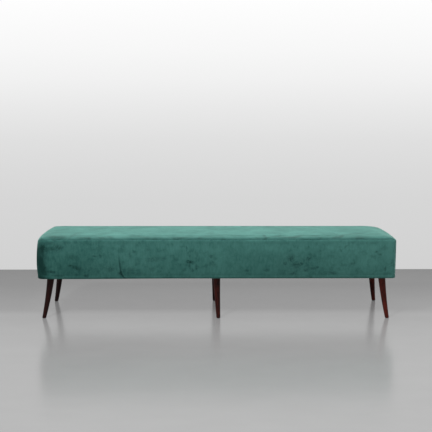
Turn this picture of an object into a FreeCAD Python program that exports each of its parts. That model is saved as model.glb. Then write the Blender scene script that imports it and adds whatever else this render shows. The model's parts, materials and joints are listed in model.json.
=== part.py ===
# A long upholstered bench. Six turned sabre legs carry a boxed seat: a hardwood frame, webbing,
# hessian, foam and wadding under a sewn velvet cover. Millimetres. X runs along the seat, the
# front faces -Y, the floor is at Z = 0 and the origin lies on it under the middle of the seat.

import FreeCAD, Part
import os
import Sketcher

document = FreeCAD.newDocument("bench")

# Driving dimensions, one spreadsheet row each
SIZES = {
    # seat outside
    "seat_length": 2000,
    "seat_depth": 460,
    "underside_height": 231,
    "seam_height": 454,
    "crown_rise": 10,
    "seam_draw": 5,
    "hem_draw": 6,
    "hem_roll": 6,
    "edge_roll_width": 16,
    "edge_roll_rise": 7,
    "end_roll_width": 80,
    "end_roll_rise": 11,
    "corner_radius": 24,
    "soft_gap": 0.3,
    # velvet cover and what lies under it
    "cover_thickness": 2,
    "cover_turn_under": 38,
    "side_wadding": 3.4,
    "top_wadding": 6,
    "padding_thickness": 8,
    "foam_edge_drop": 6,
    "hessian_thickness": 1,
    "hessian_margin": 6,
    # webbing
    "webbing_width": 50,
    "webbing_thickness": 1.5,
    "webbing_fold": 30,
    "webbing_margin": 4,
    "webbing_end_gap": 116,
    "webbing_side_gap": 76,
    "tack_spacing": 28,
    "tack_set_in": 9,
    "tack_head_diameter": 5,
    "tack_head_thickness": 0.8,
    "tack_diameter": 1.6,
    "tack_length": 13,
    # frame
    "rail_thickness": 25,
    "rail_height": 120,
    "cross_member_thickness": 25,
    "cross_member_height": 45,
    "cross_member_drop": 20,
    "dowel_diameter": 10,
    "dowel_length": 54,
    "dowel_in_rail": 18,
    "rail_dowel_spacing": 60,
    "cross_dowel_spacing": 22,
    # leg blocks and their screws
    "leg_block_width": 70,
    "centre_block_length": 90,
    "leg_block_height": 45,
    "screw_diameter": 5,
    "screw_length": 88,
    "screw_head_diameter": 9.5,
    "screw_head_height": 3,
    "screw_spacing": 16,
    "screw_edge": 18,
    # legs
    "leg_inset": 62,
    "centre_leg_set_in": 9,
    "front_centre_leg_shift": 1,
    "rear_centre_leg_shift": -8,
    "left_leg_turn": 46,
    "right_leg_turn": 32,
    "front_centre_leg_turn": 10.5,
    "rear_centre_leg_turn": 2,
    "leg_top_diameter": 41,
    "leg_foot_diameter": 22.5,
    "leg_sweep": 52,
    "leg_bow_share": 0.33,
    # leg fixings
    "bolt_diameter": 8,
    "bolt_point": 4,
    "bolt_in_leg": 38,
    "bolt_above_block": 5,
    "bolt_hole_clearance": 0.5,
    "tee_nut_flange_diameter": 22,
    "tee_nut_flange_thickness": 1.5,
    "tee_nut_barrel_diameter": 11,
    "tee_nut_barrel_length": 12,
    # feet
    "glide_diameter": 19,
    "glide_height": 4,
    "glide_round": 1.5,
    "glide_recess": 2,
    "nail_head_diameter": 6,
    "nail_head_thickness": 1,
    "nail_diameter": 2.5,
    "nail_in_leg": 18,
    # cloth under the seat and the staples
    "dust_cover_thickness": 1,
    "dust_cover_lap": 13,
    "leg_hole_clearance": 1,
    "staple_width": 11,
    "staple_wire": 1.2,
    "staple_flat": 0.8,
    "staple_depth": 10,
    "cover_staple_margin": 4,
    "cover_staple_corner": 36,
    "dust_cover_staple_margin": 2.6,
    "dust_cover_staple_corner": 98,
    # how far construction solids run past what they shape
    "overrun": 60,
}

# Counts that no length settles
CROSS_WEBBING_COUNT = 13
LONG_WEBBING_COUNT = 3
LONG_STAPLE_COUNT = 16
END_STAPLE_COUNT = 4
LEG_SECTIONS = 7

# Shares that place the middle point of an arc between its ends
ROLL_WIDTH_SHARE = 0.455
ROLL_RISE_SHARE = 0.745
DIAGONAL_SHARE = 0.7071

sheet = document.addObject("Spreadsheet::Sheet", "sizes")
for row, (size_name, size) in enumerate(SIZES.items(), start=1):
    sheet.set(f"A{row}", size_name)
    sheet.set(f"B{row}", str(size))
    sheet.setAlias(f"B{row}", size_name)
document.recompute()

# Places that follow from the sizes
HALF_LENGTH = "(sizes.seat_length / 2)"
HALF_DEPTH = "(sizes.seat_depth / 2)"
SIDE_STUFFING = (
    "(sizes.seam_draw + sizes.cover_thickness + 2 * sizes.soft_gap"
    " + sizes.side_wadding + sizes.padding_thickness)"
)
FRAME_HALF_LENGTH = f"({HALF_LENGTH} - {SIDE_STUFFING})"
FRAME_HALF_DEPTH = f"({HALF_DEPTH} - {SIDE_STUFFING})"
INNER_HALF_LENGTH = f"({FRAME_HALF_LENGTH} - sizes.rail_thickness)"
INNER_HALF_DEPTH = f"({FRAME_HALF_DEPTH} - sizes.rail_thickness)"
PADDING_HALF_LENGTH = f"({FRAME_HALF_LENGTH} + sizes.padding_thickness)"
PADDING_HALF_DEPTH = f"({FRAME_HALF_DEPTH} + sizes.padding_thickness)"
FRAME_BOTTOM = "(sizes.underside_height + sizes.cover_thickness)"
FRAME_TOP = f"({FRAME_BOTTOM} + sizes.rail_height)"
HESSIAN_BOTTOM = f"({FRAME_TOP} + 2 * sizes.webbing_thickness)"
FOAM_BOTTOM = f"({HESSIAN_BOTTOM} + sizes.hessian_thickness)"
FOAM_EDGE = "(sizes.seam_height - sizes.foam_edge_drop)"
FOAM_TOP = (
    "(sizes.seam_height + sizes.crown_rise - sizes.cover_thickness"
    " - 2 * sizes.soft_gap - sizes.top_wadding)"
)
PADDING_BOTTOM = f"({FRAME_BOTTOM} + sizes.hem_roll)"
BLOCK_TOP = f"({FRAME_BOTTOM} + sizes.leg_block_height)"
LEG_LENGTH = f"({FRAME_BOTTOM} - sizes.glide_height)"
CORNER_LEG_X = f"({HALF_LENGTH} - sizes.seam_draw - sizes.leg_inset)"
CORNER_LEG_Y = f"({HALF_DEPTH} - sizes.seam_draw - sizes.leg_inset)"
CENTRE_LEG_Y = f"({CORNER_LEG_Y} - sizes.centre_leg_set_in)"
SEAT_HEIGHT = "(sizes.seam_height + sizes.crown_rise)"
RAW_EDGE_X = f"({HALF_LENGTH} - sizes.cover_turn_under)"
RAW_EDGE_Y = f"({HALF_DEPTH} - sizes.cover_turn_under)"

sub_parts = []


def number(text):
    """The value of an expression on the sheet."""
    return float(sheet.evalExpression(text))


def vector(x, y, z="0"):
    return FreeCAD.Vector(number(x), number(y), number(z))


def about_z(degrees):
    return FreeCAD.Rotation(FreeCAD.Vector(0, 0, 1), degrees)


def keep(feature, name):
    """Make a feature one of the sub-parts."""
    feature.Label = name
    sub_parts.append(feature)
    return feature


def place(feature, x, y, z, degrees=0):
    """Turn a feature about Z and tie its position to the sheet."""
    feature.Placement = FreeCAD.Placement(vector(x, y, z), about_z(degrees))
    feature.setExpression("Placement.Base.x", x)
    feature.setExpression("Placement.Base.y", y)
    feature.setExpression("Placement.Base.z", z)
    return feature


# Sketches


def new_sketch(body, name, plane, offset="0"):
    sketch = body.newObject("Sketcher::SketchObject", name)
    planes = {item.Role: item for item in body.Origin.OriginFeatures}
    sketch.AttachmentSupport = [(planes[plane], "")]
    sketch.MapMode = "FlatFace"
    sketch.setExpression("AttachmentOffset.Base.z", offset)
    return sketch


def pin(sketch, geometry, position, x, y):
    """Hold one point of a sketch at its place."""
    for kind, axis, text in (("DistanceX", -2, x), ("DistanceY", -1, y)):
        distance = number(text)
        if distance == 0:
            sketch.addConstraint(Sketcher.Constraint("PointOnObject", geometry, position, axis))
        else:
            index = sketch.addConstraint(
                Sketcher.Constraint(kind, -1, 1, geometry, position, distance)
            )
            sketch.setExpression(f"Constraints[{index}]", text)


def draw_outline(sketch, start, steps):
    """Draw a closed outline. A step is (None, end) for a line or (middle, end) for an arc."""
    here = start
    pieces = []
    for middle, end in steps:
        if middle is None:
            piece = sketch.addGeometry(Part.LineSegment(vector(*here), vector(*end)))
        else:
            piece = sketch.addGeometry(Part.Arc(vector(*here), vector(*middle), vector(*end)))
            mark = sketch.addGeometry(Part.Point(vector(*middle)), True)
            pin(sketch, mark, 1, *middle)
            sketch.addConstraint(Sketcher.Constraint("PointOnObject", mark, 1, piece))
        first = sketch.getPoint(piece, 1)
        forward = first.distanceToPoint(vector(*here)) < first.distanceToPoint(vector(*end))
        tail, head = (1, 2) if forward else (2, 1)
        pin(sketch, piece, head, *end)
        pieces.append((piece, tail, head))
        here = end
    for (piece, tail, head), (following, next_tail, next_head) in zip(pieces, pieces[1:] + pieces[:1]):
        sketch.addConstraint(Sketcher.Constraint("Coincident", piece, head, following, next_tail))


def draw_rectangle(sketch, low_x, low_y, high_x, high_y):
    corners = [(high_x, low_y), (high_x, high_y), (low_x, high_y), (low_x, low_y)]
    draw_outline(sketch, (low_x, low_y), [(None, corner) for corner in corners])


def draw_circle(sketch, x, y, diameter):
    circle = sketch.addGeometry(
        Part.Circle(vector(x, y), FreeCAD.Vector(0, 0, 1), number(diameter) / 2)
    )
    pin(sketch, circle, 3, x, y)
    index = sketch.addConstraint(Sketcher.Constraint("Diameter", circle, number(diameter)))
    sketch.setExpression(f"Constraints[{index}]", diameter)


# Solids


def pad(body, sketch, length, midplane=False):
    feature = body.newObject("PartDesign::Pad", sketch.Name + "_pad")
    feature.Profile = sketch
    feature.setExpression("Length", length)
    feature.Midplane = midplane
    return feature


def pocket(body, sketch, length, upwards=False):
    """Cut a sketch into the body and make sure that it cuts."""
    document.recompute()
    before = body.Shape.Volume
    feature = body.newObject("PartDesign::Pocket", sketch.Name + "_pocket")
    feature.Profile = sketch
    feature.Reversed = upwards
    feature.setExpression("Length", length)
    document.recompute()
    if body.Shape.Volume >= before:
        raise RuntimeError(f"{sketch.Name} cuts nothing")
    return feature


def board(name, length, width, height):
    """A flat board: centred along X, its outer face on Y = 0, standing on Z = 0."""
    body = document.addObject("PartDesign::Body", name)
    sketch = new_sketch(body, name + "_outline", "XY_Plane")
    draw_rectangle(sketch, f"-({length}) / 2", "0", f"({length}) / 2", width)
    pad(body, sketch, height)
    return body


def box(name, low, high):
    """A box between two corners."""
    feature = document.addObject("Part::Box", name)
    for side, (start, end) in zip(("Length", "Width", "Height"), zip(low, high)):
        feature.setExpression(side, f"({end}) - ({start})")
    return place(feature, *low)


def cylinder(name, diameter, height, z="0"):
    feature = document.addObject("Part::Cylinder", name)
    feature.setExpression("Radius", f"({diameter}) / 2")
    feature.setExpression("Height", height)
    return place(feature, "0", "0", z)


def cone(name, low_diameter, high_diameter, height, z="0"):
    feature = document.addObject("Part::Cone", name)
    feature.setExpression("Radius1", f"({low_diameter}) / 2")
    feature.setExpression("Radius2", f"({high_diameter}) / 2")
    feature.setExpression("Height", height)
    return place(feature, "0", "0", z)


def fuse(name, *shapes):
    feature = document.addObject("Part::MultiFuse", name)
    feature.Shapes = list(shapes)
    return feature


def common(name, *shapes):
    feature = document.addObject("Part::MultiCommon", name)
    feature.Shapes = list(shapes)
    return feature


def compound(name, shapes):
    feature = document.addObject("Part::Compound", name)
    feature.Links = list(shapes)
    return feature


def cut(name, base, tool):
    feature = document.addObject("Part::Cut", name)
    feature.Base = base
    feature.Tool = tool
    return feature


def copies(name, master, placements):
    """A group of like pieces: copies of one master solid, kept as separate solids."""
    document.recompute()
    solids = []
    for placement in placements:
        solid = master.Shape.copy()
        solid.Placement = placement.multiply(solid.Placement)
        solids.append(solid)
    group = document.addObject("Part::Feature", name)
    group.Shape = Part.makeCompound(solids)
    group.Placement = FreeCAD.Placement()
    return group


def row_places(count, half_span):
    """Even places of a row of like pieces, from one end of its span to the other."""
    return [f"(2 * {index} / {count - 1} - 1) * ({half_span})" for index in range(count)]


# Soft forms: one seat outline at any depth under the velvet's face


def stuffed_profile(sketch, half_width, roll_width, roll_rise, crown_rise, inset):
    """A section of the seat: drawn in at the seam and the hem, fuller between, with its upper
    edges rolled over. Without a crown the top is straight between the rolls."""
    roll_centre_x = f"({half_width} - sizes.hem_draw - sizes.hem_roll)"
    roll_centre_z = "(sizes.underside_height + sizes.hem_roll)"
    roll_radius = f"(sizes.hem_roll - ({inset}))"
    hem_x = f"({half_width} - sizes.hem_draw - ({inset}))"
    seam_x = f"({half_width} - sizes.seam_draw - ({inset}))"
    swell_x = f"({half_width} - ({inset}))"
    swell_z = f"(({roll_centre_z} + sizes.seam_height) / 2)"
    bottom_z = f"(sizes.underside_height + ({inset}))"
    top_x = f"({half_width} - sizes.seam_draw - {roll_width})"
    top_z = f"(sizes.seam_height + {roll_rise} - ({inset}))"
    turn_x = f"({roll_centre_x} + {DIAGONAL_SHARE} * {roll_radius})"
    turn_z = f"({roll_centre_z} - {DIAGONAL_SHARE} * {roll_radius})"
    roll_x = (
        f"({half_width} - sizes.seam_draw - {ROLL_WIDTH_SHARE} * {roll_width} - ({inset}) / 2)"
    )
    roll_z = f"(sizes.seam_height + {ROLL_RISE_SHARE} * ({roll_rise} - ({inset})))"
    crown = None
    if crown_rise is not None:
        crown = ("0", f"(sizes.seam_height + {crown_rise} - ({inset}))")
    steps = [
        (None, (roll_centre_x, bottom_z)),
        ((turn_x, turn_z), (hem_x, roll_centre_z)),
        ((swell_x, swell_z), (seam_x, "sizes.seam_height")),
        ((roll_x, roll_z), (top_x, top_z)),
        (crown, ("-" + top_x, top_z)),
        (("-" + roll_x, roll_z), ("-" + seam_x, "sizes.seam_height")),
        (("-" + swell_x, swell_z), ("-" + hem_x, roll_centre_z)),
        (("-" + turn_x, turn_z), ("-" + roll_centre_x, bottom_z)),
    ]
    draw_outline(sketch, ("-" + roll_centre_x, bottom_z), steps)


def crowned_profile(sketch, half_width, bottom, edge, top):
    """Upright sides, a flat bottom and an arched top."""
    steps = [
        (None, (half_width, bottom)),
        (None, (half_width, edge)),
        (("0", top), ("-" + half_width, edge)),
        (None, ("-" + half_width, bottom)),
    ]
    draw_outline(sketch, ("-" + half_width, bottom), steps)


def plan_prism(name, inset):
    """The seat seen from above, with its rounded corners, as an upright prism."""
    half_x = f"({HALF_LENGTH} - ({inset}))"
    half_y = f"({HALF_DEPTH} - ({inset}))"
    radius = f"(sizes.corner_radius - ({inset}))"
    body = document.addObject("PartDesign::Body", name)
    sketch = new_sketch(body, name + "_outline", "XY_Plane")
    near_x = f"({half_x} - {radius})"
    near_y = f"({half_y} - {radius})"
    turn_x = f"({near_x} + {DIAGONAL_SHARE} * {radius})"
    turn_y = f"({near_y} + {DIAGONAL_SHARE} * {radius})"
    steps = [
        (None, (near_x, "-" + half_y)),
        ((turn_x, "-" + turn_y), (half_x, "-" + near_y)),
        (None, (half_x, near_y)),
        ((turn_x, turn_y), (near_x, half_y)),
        (None, ("-" + near_x, half_y)),
        (("-" + turn_x, turn_y), ("-" + half_x, near_y)),
        (None, ("-" + half_x, "-" + near_y)),
        (("-" + turn_x, "-" + turn_y), ("-" + near_x, "-" + half_y)),
    ]
    draw_outline(sketch, ("-" + near_x, "-" + half_y), steps)
    pad(body, sketch, f"{SEAT_HEIGHT} + sizes.overrun")
    return body


def profile_prism(name, plane, span, draw, *values):
    """A section drawn on an upright plane and carried both ways across the whole seat."""
    body = document.addObject("PartDesign::Body", name)
    sketch = new_sketch(body, name + "_section", plane)
    draw(sketch, *values)
    pad(body, sketch, f"{span} + sizes.overrun", midplane=True)
    return body


def stuffed_form(name, inset):
    """The whole seat, taken in by an even depth all round. Its crown runs straight along the
    length, and the ends slump over more softly than the long edges."""
    return common(
        name,
        plan_prism(name + "_plan", inset),
        profile_prism(
            name + "_across", "YZ_Plane", "sizes.seat_length", stuffed_profile,
            HALF_DEPTH, "sizes.edge_roll_width", "sizes.edge_roll_rise",
            "sizes.crown_rise", inset,
        ),
        profile_prism(
            name + "_along", "XZ_Plane", "sizes.seat_depth", stuffed_profile,
            HALF_LENGTH, "sizes.end_roll_width", "sizes.end_roll_rise",
            None, inset,
        ),
    )


def crowned_block(name, half_x, half_y, bottom, edge, top):
    """A block with an arched top."""
    return common(
        name,
        profile_prism(
            name + "_across", "YZ_Plane", "sizes.seat_length", crowned_profile,
            half_y, bottom, edge, top,
        ),
        profile_prism(
            name + "_along", "XZ_Plane", "sizes.seat_depth", crowned_profile,
            half_x, bottom, edge, top,
        ),
    )


# Legs: their places, which way they sweep, and which side of the bench they stand on


class Leg:
    def __init__(self, name, x, y, degrees, block_x, block_length):
        self.name = name
        self.x = x
        self.y = y
        self.degrees = degrees
        self.block_x = block_x
        self.block_length = block_length

    def top(self, z):
        """A placement on the leg's axis where it meets the frame."""
        return FreeCAD.Placement(vector(self.x, self.y, z), about_z(self.degrees))


LEFT_BLOCK_X = f"(sizes.leg_block_width / 2 - {INNER_HALF_LENGTH})"
RIGHT_BLOCK_X = f"({INNER_HALF_LENGTH} - sizes.leg_block_width / 2)"

LEGS = [
    Leg("front_left", "-" + CORNER_LEG_X, "-" + CORNER_LEG_Y,
        -number("sizes.left_leg_turn"), LEFT_BLOCK_X, "sizes.leg_block_width"),
    Leg("front_centre", "sizes.front_centre_leg_shift", "-" + CENTRE_LEG_Y,
        number("sizes.front_centre_leg_turn"), "0", "sizes.centre_block_length"),
    Leg("front_right", CORNER_LEG_X, "-" + CORNER_LEG_Y,
        number("sizes.right_leg_turn"), RIGHT_BLOCK_X, "sizes.leg_block_width"),
    Leg("rear_left", "-" + CORNER_LEG_X, CORNER_LEG_Y,
        180 + number("sizes.left_leg_turn"), LEFT_BLOCK_X, "sizes.leg_block_width"),
    Leg("rear_centre", "sizes.rear_centre_leg_shift", CENTRE_LEG_Y,
        180 + number("sizes.rear_centre_leg_turn"), "0", "sizes.centre_block_length"),
    Leg("rear_right", CORNER_LEG_X, CORNER_LEG_Y,
        180 - number("sizes.right_leg_turn"), RIGHT_BLOCK_X, "sizes.leg_block_width"),
]


def make_leg(leg):
    """A turned leg that sweeps outwards and tapers from its round top to its small foot."""
    body = document.addObject("PartDesign::Body", leg.name + "_leg")
    sections = []
    for index in range(LEG_SECTIONS):
        drop = f"{index} / {LEG_SECTIONS - 1}"
        sketch = new_sketch(
            body, f"{leg.name}_section_{index}", "XY_Plane", f"-{LEG_LENGTH} * {drop}"
        )
        reach = (
            f"-sizes.leg_sweep * ({drop}) * (1 - sizes.leg_bow_share"
            f" + sizes.leg_bow_share * {drop})"
        )
        thickness = (
            "sizes.leg_top_diameter"
            f" - (sizes.leg_top_diameter - sizes.leg_foot_diameter) * {drop}"
        )
        draw_circle(sketch, "0", reach, thickness)
        sections.append(sketch)
    loft = body.newObject("PartDesign::AdditiveLoft", leg.name + "_loft")
    loft.Profile = sections[0]
    loft.Sections = sections[1:]
    bolt_hole = new_sketch(body, leg.name + "_bolt_hole", "XY_Plane")
    draw_circle(bolt_hole, "0", "0", "sizes.bolt_diameter")
    pocket(body, bolt_hole, "sizes.bolt_in_leg")
    nail_hole = new_sketch(body, leg.name + "_nail_hole", "XY_Plane", f"-{LEG_LENGTH}")
    draw_circle(nail_hole, "0", "-sizes.leg_sweep", "sizes.nail_diameter")
    pocket(body, nail_hole, "sizes.nail_in_leg", upwards=True)
    place(body, leg.x, leg.y, FRAME_BOTTOM, leg.degrees)
    return keep(body, leg.name + "_leg")


for leg in LEGS:
    make_leg(leg)


def foot_places():
    """The middle of each foot, on the floor."""
    step = FreeCAD.Placement(vector("0", "-sizes.leg_sweep"), about_z(0))
    return [leg.top("0").multiply(step) for leg in LEGS]


# Hanger bolts and tee nuts, one of each above every leg
hanger_bolt = fuse(
    "hanger_bolt",
    cone("hanger_bolt_point", "sizes.bolt_point", "sizes.bolt_diameter", "sizes.bolt_point",
         "-sizes.bolt_in_leg"),
    cylinder("hanger_bolt_shank", "sizes.bolt_diameter",
             "sizes.bolt_in_leg - sizes.bolt_point + sizes.leg_block_height + sizes.bolt_above_block",
             "sizes.bolt_point - sizes.bolt_in_leg"),
)
hanger_bolts = keep(
    copies("hanger_bolts", hanger_bolt, [leg.top(FRAME_BOTTOM) for leg in LEGS]), "hanger_bolts"
)

tee_nut = cut(
    "tee_nut",
    fuse(
        "tee_nut_blank",
        cylinder("tee_nut_flange", "sizes.tee_nut_flange_diameter", "sizes.tee_nut_flange_thickness"),
        cylinder("tee_nut_barrel", "sizes.tee_nut_barrel_diameter", "sizes.tee_nut_barrel_length",
                 "-sizes.tee_nut_barrel_length"),
    ),
    cylinder("tee_nut_bore", "sizes.bolt_diameter", "sizes.tee_nut_barrel_length + sizes.overrun",
             "-sizes.tee_nut_barrel_length"),
)
tee_nuts = keep(copies("tee_nuts", tee_nut, [leg.top(BLOCK_TOP) for leg in LEGS]), "tee_nuts")

# Foot glides with a rounded rim, each held by a nail in its recess
glide_body = document.addObject("PartDesign::Body", "foot_glide")
glide_sketch = new_sketch(glide_body, "foot_glide_section", "XZ_Plane")
GLIDE_RADIUS = "(sizes.glide_diameter / 2)"
GLIDE_ROUND_X = f"({GLIDE_RADIUS} - sizes.glide_round)"
draw_outline(
    glide_sketch,
    ("sizes.nail_head_diameter / 2", "0"),
    [
        (None, (GLIDE_ROUND_X, "0")),
        ((f"{GLIDE_ROUND_X} + {DIAGONAL_SHARE} * sizes.glide_round",
          f"sizes.glide_round - {DIAGONAL_SHARE} * sizes.glide_round"),
         (GLIDE_RADIUS, "sizes.glide_round")),
        (None, (GLIDE_RADIUS, "sizes.glide_height")),
        (None, ("sizes.nail_diameter / 2", "sizes.glide_height")),
        (None, ("sizes.nail_diameter / 2", "sizes.glide_recess")),
        (None, ("sizes.nail_head_diameter / 2", "sizes.glide_recess")),
        (None, ("sizes.nail_head_diameter / 2", "0")),
    ],
)
glide_turning = glide_body.newObject("PartDesign::Revolution", "foot_glide_turning")
glide_turning.Profile = glide_sketch
glide_turning.ReferenceAxis = (glide_sketch, ["V_Axis"])
glide_turning.Angle = 360
keep(copies("foot_glides", glide_body, foot_places()), "foot_glides")

nail = fuse(
    "glide_nail",
    cylinder("glide_nail_head", "sizes.nail_head_diameter", "sizes.nail_head_thickness",
             "sizes.glide_recess - sizes.nail_head_thickness"),
    cylinder("glide_nail_shank", "sizes.nail_diameter",
             "sizes.glide_height - sizes.glide_recess + sizes.nail_in_leg", "sizes.glide_recess"),
)
keep(copies("glide_nails", nail, foot_places()), "glide_nails")


# Dowels


dowel = cylinder("dowel", "sizes.dowel_diameter", "sizes.dowel_length")
ALONG_X = FreeCAD.Rotation(FreeCAD.Vector(0, 1, 0), 90)
ALONG_MINUS_X = FreeCAD.Rotation(FreeCAD.Vector(0, 1, 0), -90)
ALONG_Y = FreeCAD.Rotation(FreeCAD.Vector(1, 0, 0), -90)
ALONG_MINUS_Y = FreeCAD.Rotation(FreeCAD.Vector(1, 0, 0), 90)
DOWEL_START_Y = f"({INNER_HALF_DEPTH} + sizes.dowel_in_rail)"
RAIL_MIDDLE = f"({FRAME_BOTTOM} + sizes.rail_height / 2)"
CROSS_MEMBER_TOP = f"({FRAME_TOP} - sizes.cross_member_drop)"
CROSS_MEMBER_MIDDLE = f"({CROSS_MEMBER_TOP} - sizes.cross_member_height / 2)"
END_RAIL_MIDDLE_X = f"({FRAME_HALF_LENGTH} - sizes.rail_thickness / 2)"


def dowel_places(x_places, middle, spacing):
    """Pairs of dowels between the long rails and the members that butt against them."""
    places = []
    for x in x_places:
        for z in (f"{middle} - {spacing} / 2", f"{middle} + {spacing} / 2"):
            places.append(FreeCAD.Placement(vector(x, "-" + DOWEL_START_Y, z), ALONG_Y))
            places.append(FreeCAD.Placement(vector(x, DOWEL_START_Y, z), ALONG_MINUS_Y))
    return places


rail_dowels = keep(
    copies(
        "rail_dowels", dowel,
        dowel_places(["-" + END_RAIL_MIDDLE_X, END_RAIL_MIDDLE_X], RAIL_MIDDLE,
                     "sizes.rail_dowel_spacing"),
    ),
    "rail_dowels",
)
CROSS_MEMBER_PLACES = {
    "left_cross_member": f"-{INNER_HALF_LENGTH} / 2",
    "centre_cross_member": "0",
    "right_cross_member": f"{INNER_HALF_LENGTH} / 2",
}
cross_member_dowels = keep(
    copies(
        "cross_member_dowels", dowel,
        dowel_places(CROSS_MEMBER_PLACES.values(), CROSS_MEMBER_MIDDLE, "sizes.cross_dowel_spacing"),
    ),
    "cross_member_dowels",
)

# Screws that hold the leg blocks to the rails, their heads flush with the block
screw = fuse(
    "screw",
    cone("screw_head", "sizes.screw_head_diameter", "sizes.screw_diameter", "sizes.screw_head_height"),
    cylinder("screw_shank", "sizes.screw_diameter", "sizes.screw_length - sizes.screw_head_height",
             "sizes.screw_head_height"),
)
BLOCK_FACE_X = f"({INNER_HALF_LENGTH} - sizes.leg_block_width)"
BLOCK_FACE_Y = f"({INNER_HALF_DEPTH} - sizes.leg_block_width)"
BLOCK_MIDDLE = f"({FRAME_BOTTOM} + sizes.leg_block_height / 2)"


def screw_places():
    places = []
    for side, across in (("-", ALONG_MINUS_Y), ("", ALONG_Y)):
        for end, along in (("-", ALONG_MINUS_X), ("", ALONG_X)):
            edge_x = f"{end}({BLOCK_FACE_X} + sizes.screw_edge)"
            for z in (f"{BLOCK_MIDDLE} - sizes.screw_spacing / 2",
                      f"{BLOCK_MIDDLE} + sizes.screw_spacing / 2"):
                places.append(FreeCAD.Placement(vector(edge_x, side + BLOCK_FACE_Y, z), across))
            edge_y = f"{side}({BLOCK_FACE_Y} + sizes.screw_edge)"
            places.append(
                FreeCAD.Placement(vector(end + BLOCK_FACE_X, edge_y, BLOCK_MIDDLE), along)
            )
        for end in ("-", ""):
            edge_x = f"{end}(sizes.centre_block_length / 2 - sizes.screw_edge)"
            places.append(
                FreeCAD.Placement(vector(edge_x, side + BLOCK_FACE_Y, BLOCK_MIDDLE), across)
            )
    return places


block_screws = keep(copies("block_screws", screw, screw_places()), "block_screws")

# Staples of flat wire: the crown lies flush in the cloth, the two legs go up into the rail


def staple_leg(name, x):
    low = (f"{x} - sizes.staple_wire / 2", "-sizes.staple_wire / 2", "0")
    high = (f"{x} + sizes.staple_wire / 2", "sizes.staple_wire / 2", "sizes.staple_depth")
    return box(name, low, high)


STAPLE_LEG_X = "(sizes.staple_width / 2 - sizes.staple_wire / 2)"
staple = fuse(
    "staple",
    box("staple_crown",
        ("-sizes.staple_width / 2", "-sizes.staple_wire / 2", "0"),
        ("sizes.staple_width / 2", "sizes.staple_wire / 2", "sizes.staple_flat")),
    staple_leg("staple_left_leg", "-" + STAPLE_LEG_X),
    staple_leg("staple_right_leg", STAPLE_LEG_X),
)


def staple_places(half_x, half_y, z, corner, long_count, end_count):
    """A ring of staples, parallel to the raw edges."""
    places = []
    for x in row_places(long_count, f"{half_x} - {corner}"):
        for side in ("-", ""):
            places.append(FreeCAD.Placement(vector(x, side + half_y, z), about_z(0)))
    for y in row_places(end_count, f"{half_y} - {corner}"):
        for end in ("-", ""):
            places.append(FreeCAD.Placement(vector(end + half_x, y, z), about_z(90)))
    return places


cover_staples = keep(
    copies(
        "cover_staples", staple,
        staple_places(f"({RAW_EDGE_X} + sizes.cover_staple_margin)",
                      f"({RAW_EDGE_Y} + sizes.cover_staple_margin)",
                      "sizes.underside_height", "sizes.cover_staple_corner",
                      LONG_STAPLE_COUNT, END_STAPLE_COUNT),
    ),
    "cover_staples",
)
DUST_COVER_HALF_X = f"({RAW_EDGE_X} + sizes.dust_cover_lap)"
DUST_COVER_HALF_Y = f"({RAW_EDGE_Y} + sizes.dust_cover_lap)"
DUST_COVER_BOTTOM = "(sizes.underside_height - sizes.dust_cover_thickness)"
dust_cover_staples = keep(
    copies(
        "dust_cover_staples", staple,
        staple_places(f"({DUST_COVER_HALF_X} - sizes.dust_cover_staple_margin)",
                      f"({DUST_COVER_HALF_Y} - sizes.dust_cover_staple_margin)",
                      DUST_COVER_BOTTOM, "sizes.dust_cover_staple_corner",
                      LONG_STAPLE_COUNT - 1, END_STAPLE_COUNT - 1),
    ),
    "dust_cover_staples",
)

# Webbing: cross straps on the rails with their ends folded over, long straps on top of them with
# their ends folded under
CROSS_STRAP_HALF = f"({FRAME_HALF_DEPTH} - sizes.webbing_margin)"
LONG_STRAP_HALF = f"({FRAME_HALF_LENGTH} - sizes.webbing_margin)"
CROSS_STRAP_PLACES = row_places(
    CROSS_WEBBING_COUNT, f"{INNER_HALF_LENGTH} - sizes.webbing_end_gap"
)
LONG_STRAP_PLACES = row_places(
    LONG_WEBBING_COUNT, f"{INNER_HALF_DEPTH} - sizes.webbing_side_gap"
)


def strap(name, half, strap_z, fold_z):
    """A strap along X with a folded end at each side of its middle."""
    half_width = "sizes.webbing_width / 2"
    pieces = [
        box(name + "_run", ("-" + half, "-" + half_width, strap_z),
            (half, half_width, f"{strap_z} + sizes.webbing_thickness")),
        box(name + "_left_fold", ("-" + half, "-" + half_width, fold_z),
            (f"sizes.webbing_fold - {half}", half_width, f"{fold_z} + sizes.webbing_thickness")),
        box(name + "_right_fold", (f"{half} - sizes.webbing_fold", "-" + half_width, fold_z),
            (half, half_width, f"{fold_z} + sizes.webbing_thickness")),
    ]
    return fuse(name, *pieces)


cross_strap = strap("cross_strap", CROSS_STRAP_HALF, "0", "sizes.webbing_thickness")
long_strap = strap("long_strap", LONG_STRAP_HALF, "sizes.webbing_thickness", "0")
cross_straps = copies(
    "cross_straps", cross_strap,
    [FreeCAD.Placement(vector(x, "0", FRAME_TOP), about_z(90)) for x in CROSS_STRAP_PLACES],
)
long_straps = copies(
    "long_straps", long_strap,
    [FreeCAD.Placement(vector("0", y, FRAME_TOP), about_z(0)) for y in LONG_STRAP_PLACES],
)

tack = fuse(
    "tack",
    cylinder("tack_head", "sizes.tack_head_diameter", "sizes.tack_head_thickness",
             "-sizes.tack_head_thickness"),
    cylinder("tack_shank", "sizes.tack_diameter", "sizes.tack_length", "-sizes.tack_length"),
)


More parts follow.
